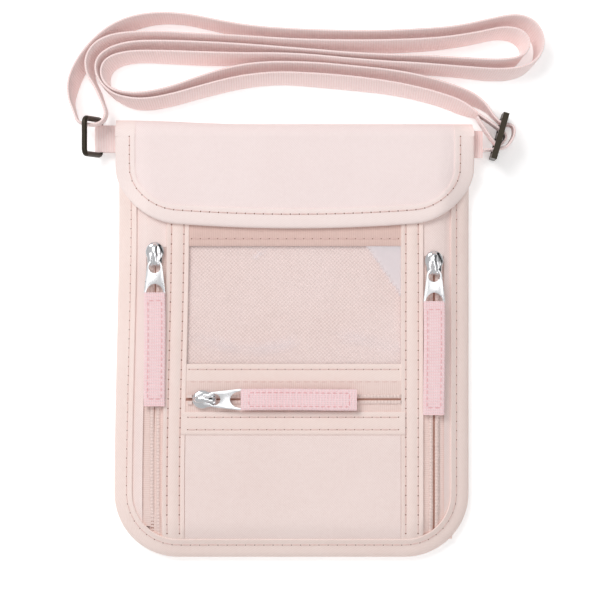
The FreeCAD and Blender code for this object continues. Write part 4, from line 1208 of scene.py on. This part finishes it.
@dataclass
class Flap:
    """The flap, its lining and binding, and the cloth that folds over at the top.

    Attributes:
        corner: Radius of its lower corners.
        bound: Width of its binding.
        sewn: Inset of its seam.
        cloth: Thickness of its canvas.
        lining: Thickness of its lining.
        under: Level of the lining's underside.
        outside: Level of the canvas's top.
    """

    corner: float = 26.0 * MM
    bound: float = 8.6 * MM
    sewn: float = 6.2 * MM
    cloth: float = 0.8 * MM
    lining: float = 0.35 * MM
    under: float = 10.9 * MM
    outside: float = 12.1 * MM

    def __post_init__(self) -> None:
        """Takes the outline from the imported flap."""
        low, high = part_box("flap_binding")
        self.half, self.low, self.fold = high.x, low.y, high.y
        self.base, self.top = low.z, high.z
        self.shape = FlapShape(self.half, self.low, self.corner, self.fold)
        self.draper = Draper(self.shape, "flap")

    def limit(self, y: float) -> Point:
        """Returns the left and right edges of the flap's panel at a height y."""
        tuck = 3.0 * MM
        reach, down = self.corner - tuck, self.low + self.corner - y
        wide = self.half - tuck
        if down > 0:
            wide = self.half - self.corner + math.sqrt(max(0.0, reach * reach - down * down))
        return -wide, wide

    def build(self) -> None:
        """Makes the flap and the fold."""
        low = self.low + 3.3 * MM
        for node, level, thick, finish, slot in (
                ("flap_panel", self.outside - self.cloth, self.cloth, FLAP_CANVAS, "canvas"),
                ("flap_lining", self.under, self.lining, INNER_CLOTH, "lining_cloth")):
            self.draper.panel(node + "_cloth", self.limit, low, self.fold, level, thick, finish, slot,
                              (node,))
        path = round_pocket(self.half, self.fold, self.low, self.corner)
        profile = folded_tape(self.bound, self.base, self.top, self.sewn)
        self.draper.strip("flap_binding_tape", path, profile, FLAP_TAPE, "binding_tape", ("flap_binding",))
        self.draper.seam("flap_binding_seam", path, self.sewn, self.top + 0.05 * MM, 3.9 * MM)
        low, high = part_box("closure_hook_patch")
        self.draper.panel("hook_patch", lambda y: (low.x, high.x), low.y, high.y, low.z, high.z - low.z, PILE,
                          "hook_and_loop", ("closure_hook_patch",))
        self.folded_top()

    def folded_top(self) -> None:
        """Makes the cloth that turns over the top, with the flap's and the body's bindings at its ends."""
        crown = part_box("top_fold")[1].y
        for name, start, end, finish, slot in (
                ("top_fold_cloth", -self.half + self.bound, self.half - self.bound, FLAP_CANVAS, "canvas"),
                ("top_fold_left_tape", -self.half, -self.half + self.bound, FLAP_TAPE, "binding_tape"),
                ("top_fold_right_tape", self.half - self.bound, self.half, FLAP_TAPE, "binding_tape")):
            self.turn(name, start, end, crown, finish, slot)

    def turn(self, name: str, start: float, end: float, crown: float, finish: Cloth, slot: str) -> None:
        """Makes one width of the cloth that turns over the top.

        Args:
            name: The piece's name.
            start: Its left edge.
            end: Its right edge.
            crown: The y of its furthest reach.
            finish: Its finish.
            slot: The record's material slot.
        """
        piece = Piece(name)
        columns = max(3, round((end - start) / MESH_STEP))
        rows = []
        tape = "tape" in name
        for column in range(columns + 1):
            x = mix(start, end, column / columns)
            ring = []
            for layer, sweep in ((0.0, range(0, 17)), (1.0, range(16, -1, -1))):
                for step in sweep:
                    angle = math.pi * step / 16
                    ring.append(self.turned(piece, x, angle, layer, crown, tape))
            rows.append(ring)
        piece.tube(rows)
        replaced = () if tape else ("top_fold",)
        made = piece.make(finish, "", slot, replaced)
        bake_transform(made)

    def turned(self, piece: Piece, x: float, angle: float, layer: float, crown: float, tape: bool) -> int:
        """Adds a vertex on the turned cloth.

        Args:
            piece: The mesh.
            x: Its place across the pouch.
            angle: How far round the fold it is, from the back at 0 to the flap at pi.
            layer: 0 on the outside and 1 on the inside.
            crown: The y of the fold's furthest reach.
            tape: Whether this is the thicker tape at an end.

        Returns:
            The vertex's number.
        """
        out_top = self.top if tape else self.outside
        in_top = self.base if tape else self.under
        out_low, in_low = (0.0, 1.5 * MM) if tape else (0.5 * MM, 1.4 * MM)
        high = mix(out_top, in_top, layer)
        low = mix(out_low, in_low, layer)
        reach = crown - self.fold - layer * 1.1 * MM
        level = mix(low, high, 0.5 - 0.5 * math.cos(angle))
        sag = mix(1.1 * MM, -0.6 * MM, smooth((x + 78 * MM) / (60 * MM))) * math.sin(angle)
        at = self.shape.at(x, self.fold, level)
        share = smooth(angle / math.pi)
        body_x = x * high_of("body_binding").x / self.half
        place = Vector((mix(body_x, at.x, share), self.fold + reach * math.sin(angle) + sag, at.z))
        return piece.vertex(place, (x, self.fold + angle * 6 * MM))


# --------------------------------------------------------------------------------------------------
# Zips, sliders, pulls and ribbons
# --------------------------------------------------------------------------------------------------


@dataclass(frozen=True)
class Place:
    """Where a zip lies: its slider's pivot, the way it runs and the way across it."""

    origin: Vector
    along: Vector
    across: Vector
    droop: float = 0.0

    def at(self, u: float, v: float, z: float) -> Vector:
        """Returns the point u along, v across and z above the pivot, with the pull's droop."""
        return (self.origin + self.along * (u * math.cos(self.droop)) + self.across * v
                + Vector((0, 0, z - u * math.sin(self.droop))))

    def level(self) -> "Place":
        """Returns the same place with no droop."""
        return Place(self.origin, self.along, self.across)


@dataclass
class Zip:
    """One zip with its tapes, teeth, slider, pull plate and ribbon.

    Attributes:
        side: The zip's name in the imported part.
        along: The way from the slider to the far end.
        across: The way across the zip.
        hole: Distance from the pivot to the middle of the pull's round hole.
        arch: Distance to the top of the pull's arch.
        reach: Distance to the tips of its prongs.
        droop: How far the resting pull slants down, in radians.
        pitch: Distance from tooth to tooth.
    """

    side: str
    along: tuple[float, float]
    across: tuple[float, float]
    hole: float = 5.9 * MM
    arch: float = 13.1 * MM
    reach: float = 17.8 * MM
    droop: float = 0.0
    pitch: float = 1.45 * MM

    def __post_init__(self) -> None:
        """Takes the zip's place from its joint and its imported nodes."""
        joint = next(j for j in frame["joints"] if j["name"] == f"{self.side}_pull_swing")
        along, across = Vector((*self.along, 0)), Vector((*self.across, 0))
        self.place = Place(Vector(joint["pos_m"]), along, across, self.droop)
        self.low, self.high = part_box(f"{self.side}_zip_coil")
        self.upright = abs(self.along[1]) > 0.5

    def build(self, body: PouchBody) -> None:
        """Makes every piece of the zip."""
        self.tapes(body)
        self.teeth(body)
        self.slider()
        self.pull()
        self.ribbon()
        dress(f"{self.side}_zip_stops", TEETH)

    def line(self, body: PouchBody, offset: float, tucked: float = 0.0) -> list[tuple[Vector, Vector]]:
        """Returns a line along the zip, offset across it, within the pouch's outline."""
        middle = self.place.origin + self.place.across * offset
        if self.upright:
            start = (middle.x, body.lowest(middle.x) + tucked)
            end = (middle.x, self.high.y + 6 * MM)
        else:
            start, end = (self.low.x - 3 * MM, middle.y), (self.high.x + 2 * MM, middle.y)
        return straight(start, end, self.across, 2.0 * MM)

    def tapes(self, body: PouchBody) -> None:
        """Makes the two woven tapes and a dark strip of painted shade in the slit between them."""
        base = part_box(f"{self.side}_zip_tape_lower")[0].z
        for name, start, end in (("lower", -8.2 * MM, -0.35 * MM), ("upper", 0.35 * MM, 8.2 * MM)):
            profile = flat_tape(end - start, base, base + 0.45 * MM)
            path = self.line(body, start)
            body.draper.strip(f"{self.side}_zip_tape_{name}_cloth", path, profile, ZIP_TAPE, "zip_tape",
                              (f"{self.side}_zip_tape_{name}",))
        # A dark strip in the gap between the tapes: painted shade.
        slit = self.line(body, -0.7 * MM, 4.5 * MM)
        profile = flat_tape(1.4 * MM, base + 0.2 * MM, base + 0.5 * MM)
        body.draper.strip(f"{self.side}_zip_slit", slit, profile, SLIT_SHADE, "zip_tape")

    def teeth(self, body: PouchBody) -> None:
        """Makes the two rows of moulded teeth, each a ribbed ridge."""
        piece = Piece(f"{self.side}_zip_teeth")
        base = self.low.z - 0.1 * MM
        length = (self.high.y - self.low.y) if self.upright else (self.high.x - self.low.x)
        tall = 1.05 * MM
        count = int(length / self.pitch * 4)
        for hand in (-1, 1):
            rings = []
            for step in range(count + 1):
                run = length * step / count
                bead = 0.5 + 0.5 * math.cos(TURN * (run / self.pitch + (0.25 if hand > 0 else 0.0)))
                ring = []
                for turn in range(9):
                    angle = math.pi * turn / 8
                    offset = hand * (1.32 * MM - math.cos(angle) * 0.98 * MM)
                    height = base + math.sin(angle) * tall * mix(0.5, 1.0, bead)
                    ring.append(self.tooth_point(piece, body, run, offset, height))
                rings.append(ring)
            piece.skin(rings)
        piece.make(TEETH, "pouch", "coil_nylon", (f"{self.side}_zip_coil",), 75.0)

    def tooth_point(self, piece: Piece, body: PouchBody, run: float, offset: float, height: float) -> int:
        """Adds a vertex of the teeth at a distance along the zip."""
        if self.upright:
            x, y = self.place.origin.x + offset, self.low.y + run
        else:
            x, y = self.low.x + run, self.place.origin.y + offset
        return piece.vertex((x, y, height * body.shape.crown(x, y)), (run, offset))

    def slider(self) -> None:
        """Makes the polished slider: a domed plate, its flanges and the humped bail."""
        place, deck = self.place.level(), -1.85 * MM
        dome = Piece(f"{self.side}_slider_dome")
        rings = []
        for row in range(29):
            u = mix(-5.2 * MM, 5.6 * MM, 0.5 - 0.5 * math.cos(math.pi * row / 28))
            wide = self.slider_half(u)
            ring = []
            for step in range(17):
                v = wide * math.sin(math.pi * (step / 16 - 0.5))
                arch = math.sqrt(max(0.0, 1 - (v / wide) ** 2)) if wide > 1e-6 else 0.0
                end = min(1.0, wide / (3.2 * MM))
                ring.append(dome.vertex(place.at(u, v, deck + 1.35 * MM * arch ** 0.8 * end)))
            for step in range(16, -1, -1):
                v = wide * 0.93 * math.sin(math.pi * (step / 16 - 0.5))
                ring.append(dome.vertex(place.at(u * 0.95, v, deck - 0.9 * MM)))
            rings.append(ring)
        dome.tube(rings)
        dome.make(CHROME, f"{self.side}_slider", "plated_metal", (f"{self.side}_zip_slider",), 50.0)
        self.bail()

    def slider_half(self, u: float) -> float:
        """Returns half the slider's width at a distance from its pivot: an egg with a waisted tail."""
        head = 4.1 * MM * math.sqrt(max(0.0, 1 - ((u + 0.9 * MM) / (4.35 * MM)) ** 2))
        past = max(0.0, (u - 3.4 * MM) / (2.25 * MM))
        tail = 3.35 * MM * math.sqrt(max(0.0, 1 - past ** 2)) if u > 0 else 0.0
        return max(head, tail, 0.05 * MM)

    def bail(self) -> None:
        """Makes the hump that holds the pull, from the slider's head to inside the pull's hole."""
        place = self.place.level()
        piece = Piece(f"{self.side}_slider_bail")
        line = [(-4.5, -1.35, 0.7), (-4.1, -0.5, 1.1), (-3.2, 0.55, 1.35), (-1.8, 1.05, 1.35),
                (0.0, 1.28, 1.25), (1.8, 1.22, 1.15), (3.4, 0.85, 1.1), (4.5, 0.1, 1.1), (5.0, -0.9, 1.05),
                (5.1, -1.7, 0.9)]
        rings = []
        for index, (u, z, wide) in enumerate(line):
            before, after = line[max(0, index - 1)], line[min(len(line) - 1, index + 1)]
            slope = Vector((after[0] - before[0], 0, after[1] - before[1])).normalized()
            normal = Vector((-slope.z, 0, slope.x))
            ring = []
            for turn in range(12):
                angle = TURN * turn / 12
                v = wide * math.cos(angle)
                off = 0.48 * math.sin(angle) * (1.25 if math.sin(angle) > 0 else 0.9)
                along, up = u + normal.x * off, z + normal.z * off
                ring.append(piece.vertex(place.at(along * MM, v * MM, up * MM)))
            rings.append(ring)
        piece.tube(rings)
        bail = piece.make(CHROME, "", "plated_metal", (), 60.0)
        soften(bail, 2)
        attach(bail, f"{self.side}_slider")

    def pull(self) -> None:
        """Makes the pull plate: a head with a long hole, widening shoulders, and an arch between prongs."""
        outer = [(-0.55, 1.7), (-0.3, 2.3), (0.3, 2.5), (1.8, 2.5)]
        hole = self.hole / MM
        for step in range(6):
            angle = math.pi * (0.82 - 0.32 * step / 5)
            outer.append((hole + 3.45 * math.cos(angle), 3.45 * math.sin(angle)))
        tip = self.reach / MM
        outer += [(tip - 1.2, 4.68), (tip - 0.4, 4.72), (tip, 4.45), (tip - 0.1, 4.1)]
        inner_arch = []
        for step in range(13):
            angle = math.pi / 2 * step / 12
            depth = tip - 0.6 - self.arch / MM
            inner_arch.append((tip - 0.6 - depth * math.sin(angle), 3.95 * math.cos(angle)))
        half = outer + inner_arch
        outline = half + [(u, -v) for u, v in reversed(half[:-1])]
        slot_half = [(0.65, 1.0), (0.9, 1.5), (2.6, 1.6)]
        for step in range(10):
            angle = math.pi * (0.8 - 0.8 * step / 9)
            slot_half.append((hole + 2.65 * math.cos(angle), 2.65 * math.sin(angle)))
        slot = slot_half + [(u, -v) for u, v in reversed(slot_half[:-1])]
        plate = self.plate(f"{self.side}_pull_plate", outline, slot)
        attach(plate, f"{self.side}_pull")
        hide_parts(f"{self.side}_zip_pull")

    def plate(self, name: str, outline: Sequence[Point], slot: Sequence[Point]) -> bpy.types.Object:
        """Makes a stamped plate with rounded edges.

        Args:
            name: The piece's name.
            outline: Its outline in millimetres from the pivot, along and across.
            slot: The outline of its hole.

        Returns:
            The object, not yet attached.
        """
        bevel = 0.18
        data = bpy.data.curves.new(name, "CURVE")
        data.dimensions = "2D"
        data.fill_mode = "BOTH"
        data.extrude = 0.32 * MM
        data.bevel_depth = bevel * MM
        data.bevel_resolution = 2
        middle = self.reach / MM / 2
        drawn_in = [(u - math.copysign(min(abs(u - middle), bevel), u - middle),
                     v - math.copysign(min(abs(v), bevel), v)) for u, v in outline]
        for points in (drawn_in, slot):
            spline = data.splines.new("POLY")
            spline.points.add(len(points) - 1)
            for point, (u, v) in zip(spline.points, points):
                point.co = (u * MM, v * MM, 0, 1)
            spline.use_cyclic_u = True
        mesh = curve_mesh(data)
        for vertex in mesh.vertices:
            u, v, z = vertex.co
            vertex.co = self.place.at(u, v, z)
        merged(mesh)
        mesh.shade_smooth()
        mesh.set_sharp_from_angle(angle=math.radians(32))
        mesh.materials.clear()
        mesh.materials.append(SATIN.material())
        plate = bpy.data.objects.new(name, mesh)
        bpy.context.scene.collection.objects.link(plate)
        return plate

    def ribbon(self) -> None:
        """Makes the ribbed ribbon on the pull, doubled and box-stitched at both ends."""
        low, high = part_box(f"{self.side}_zip_ribbon")
        start = self.reach - 1.0 * MM
        far = (self.place.origin.y - low.y) if self.upright else (high.x - self.place.origin.x)
        length, half = far - start - 0.2 * MM, 4.65 * MM
        piece = Piece(f"{self.side}_ribbon_webbing")
        rows, columns = int(length / (0.21 * MM)), 14
        rings = []
        for row in range(rows + 1):
            u = start + length * row / rows
            ring = []
            for hand in (1, -1):
                for column in range(columns + 1):
                    v = mix(-half, half, column / columns) * hand
                    ring.append(self.ribbon_point(piece, u, v, hand, half, start, length))
            rings.append(ring)
        piece.tube(rings)
        piece.make(RIBBON, f"{self.side}_ribbon", "pull_ribbon", (f"{self.side}_zip_ribbon",), 70.0)
        self.box_stitches(start, length, half)

    def swell(self, u: float, v: float) -> float:
        """Returns the height of the ribbon's gentle waves along its length."""
        return noise.noise(Vector((u * 60, v * 50, 9.0 + self.place.origin.x * 10))) * 0.22 * MM

    def ribbon_point(self, piece: Piece, u: float, v: float, hand: int, half: float, start: float,
                     length: float) -> int:
        """Adds a vertex of the ribbon's top or underside."""
        rib = 0.5 + 0.5 * math.cos(TURN * u / (1.3 * MM))
        edge = 1 - smooth((abs(v) - half + 0.9 * MM) / (0.9 * MM))
        thick = mix(0.45 * MM, 0.78 * MM, edge) * (1 if hand > 0 else -1)
        sewn = smooth(1.2 - abs(abs(v) - half + 1.7 * MM) / (0.5 * MM)) * 0.14 * MM
        rise = (rib - 0.5) * 0.16 * MM * edge * hand - sewn * hand
        place = self.place.at(u, v + self.bow((u - start) / length), thick + rise + self.swell(u, v))
        return piece.vertex(place, (u, v))

    def bow(self, share: float) -> float:
        """Returns how far the ribbon strays sideways at a share of its length."""
        return 0.14 * MM * math.sin(TURN * share * 0.8)

    def box_stitches(self, start: float, length: float, half: float) -> None:
        """Sews a long box of deeper pink stitches round the ribbon."""
        threads = Piece(f"{self.side}_ribbon_stitches")
        inset = 1.7 * MM
        near, far = start + 3.6 * MM, start + length - 3.2 * MM
        corners = [(near, -half + inset), (far, -half + inset), (far, half - inset), (near, half - inset)]
        for index, (u, v) in enumerate(corners):
            next_u, next_v = corners[(index + 1) % 4]
            run = math.hypot(next_u - u, next_v - v)
            count = max(2, round(run / (2.6 * MM)))
            for k in range(count):
                ends = []
                for share in ((k + 0.1) / count, (k + 0.9) / count):
                    a, b = mix(u, next_u, share), mix(v, next_v, share)
                    aside = b + self.bow((a - start) / length)
                    ends.append(self.place.at(a, aside, 0.76 * MM + self.swell(a, b)))
                stitch_thread(threads, ends[0], ends[1])
        threads.make(PINK_THREAD, f"{self.side}_ribbon", "pull_ribbon")


def merged(mesh: bpy.types.Mesh) -> None:
    """Joins vertices that lie together, and turns the faces outwards."""
    work = bmesh.new()
    work.from_mesh(mesh)
    bmesh.ops.remove_doubles(work, verts=work.verts, dist=0.005 * MM)
    bmesh.ops.recalc_face_normals(work, faces=work.faces)
    work.to_mesh(mesh)
    work.free()


def soften(piece: bpy.types.Object, levels: int) -> None:
    """Subdivides a piece into a smoother shape, as part of its mesh."""
    piece.modifiers.new("smooth", "SUBSURF").levels = levels
    bpy.context.view_layer.update()
    mesh = bpy.data.meshes.new_from_object(piece.evaluated_get(bpy.context.evaluated_depsgraph_get()))
    piece.modifiers.clear()
    piece.data = mesh


# --------------------------------------------------------------------------------------------------
# The strap's fittings
# --------------------------------------------------------------------------------------------------


@dataclass
class Fittings:
    """The webbing tabs that hold the ring and the strap's end, the sewn loop, and the metalwork.

    Attributes:
        width: Width of the webbing.
        thick: Its thickness.
        spread: How far the ring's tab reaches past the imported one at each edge.
        lifted: Height of the sewn loop's lower edge.
    """

    width: float = 12.0 * MM
    thick: float = 1.1 * MM
    spread: float = 1.1 * MM
    lifted: float = 2.5 * MM

    def build(self) -> None:
        """Makes every fitting."""
        self.ring_tab()
        self.end_tab()
        self.sewn_loop()
        for node in ("strap_ring", "strap_adjuster"):
            dress(node, BRONZE)

    def ring_tab(self) -> None:
        """Makes the tab folded round the ring's bar."""
        low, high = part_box("ring_tab")
        centre = Vector((low.x + 2.6 * MM, 0, (low.z + high.z) / 2))
        radius = (high.z - low.z) / 2
        line = [Vector((high.x + 3 * MM, 0, high.z - 0.6 * MM)),
                Vector((high.x - 2 * MM, 0, high.z - 0.35 * MM))]
        for step in range(13):
            angle = math.pi / 2 + math.pi * step / 12
            line.append(centre + Vector((math.cos(angle), 0, math.sin(angle))) * (radius - self.thick / 2))
        line += [Vector((high.x - 2 * MM, 0, 0.75 * MM)), Vector((high.x + 3 * MM, 0, 0.9 * MM))]
        self.tape_tab("ring_tab_webbing", line, low.y - self.spread, high.y + self.spread, ("ring_tab",))
        seam = high.x - 2.2 * MM
        self.tab_seam("ring_tab_seam", (seam, low.y), (seam, high.y), high.z - 0.1 * MM)

    def end_tab(self) -> None:
        """Makes the flat end of the strap where it is sewn into the pouch's corner."""
        low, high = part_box("strap_end_tab")
        middle = (low.z + high.z) / 2
        line = [Vector((low.x - 4 * MM, 0, middle)), Vector((low.x, 0, middle)), Vector((high.x, 0, middle))]
        self.tape_tab("strap_end_tab_webbing", line, low.y, high.y, ("strap_end_tab",))

    def tape_tab(self, name: str, line: Sequence[Vector], low: float, high: float,
                 replaced: Iterable[str]) -> None:
        """Makes a tab of webbing whose section follows a line in x and z, from one y to another."""
        piece = Piece(name)
        rings = []
        for spot, ahead, run in walk(line):
            normal = Vector((-ahead.z, 0, ahead.x))
            ring = []
            for hand in (1, -1):
                for column in range(9):
                    share = column / 8 if hand > 0 else 1 - column / 8
                    thin = 0.6 if column in (0, 8) else 1.0
                    place = spot + normal * (hand * self.thick / 2 * thin)
                    lay = (run, share * (high - low))
                    ring.append(piece.vertex((place.x, mix(low, high, share), place.z), lay))
            rings.append(ring)
        piece.tube(rings)
        piece.make(WEBBING, "pouch", "webbing", replaced, 50.0)

    def tab_seam(self, name: str, start: Point, end: Point, height: float) -> None:
        """Sews a short straight seam on a tab."""
        threads = Piece(name)
        spots = spaced([Vector((*start, height)), Vector((*end, height))], 2.4 * MM)
        for a, b in zip(spots, spots[1:]):
            stitch_thread(threads, a, b)
        threads.make(THREAD, "pouch", "webbing")

    def sewn_loop(self) -> None:
        """Makes the loop of webbing that is sewn back on the strap round the adjuster's middle bar."""
        half = self.width / 2
        route = [Vector((x * MM, y * MM, self.lifted + half)) for x, y in SEWN_LOOP]
        line = smooth_line("sewn_loop_line", route)
        piece = Piece("sewn_loop_webbing")
        rings = []
        for spot, ahead, run in walk(line):
            aside = Vector((-ahead.y, ahead.x, 0)).normalized()
            ring = []
            for hand in (1, -1):
                for share in (-1, -0.9, 0, 0.9, 1) if hand > 0 else (1, 0.9, 0, -0.9, -1):
                    edge = 0.55 if abs(share) == 1 else 1.0
                    up = Vector((0, 0, share * (half - 0.05 * MM)))
                    place = spot + aside * (hand * self.thick / 2 * edge) + up
                    ring.append(piece.vertex(place, (run, share * half)))
            rings.append(ring)
        piece.tube(rings)
        piece.make(WEBBING, "pouch", "webbing", ("strap_sewn_loop",), 50.0)


def main() -> None:
    """Builds the pouch, sub-assembly by sub-assembly."""
    logging.basicConfig(level=logging.INFO, format="%(message)s")
    Studio().build()
    NeckStrap().build()
    body = PouchBody()
    body.build()
    Flap().build()
    droop = math.radians(1.0)
    Zip("left", (0, -1), (1, 0), droop=droop).build(body)
    Zip("right", (0, -1), (1, 0), droop=droop).build(body)
    Zip("front", (1, 0), (0, 1), 4.6 * MM, 11.3 * MM, 16.9 * MM).build(body)
    Fittings().build()


if __name__ == "__main__":
    main()
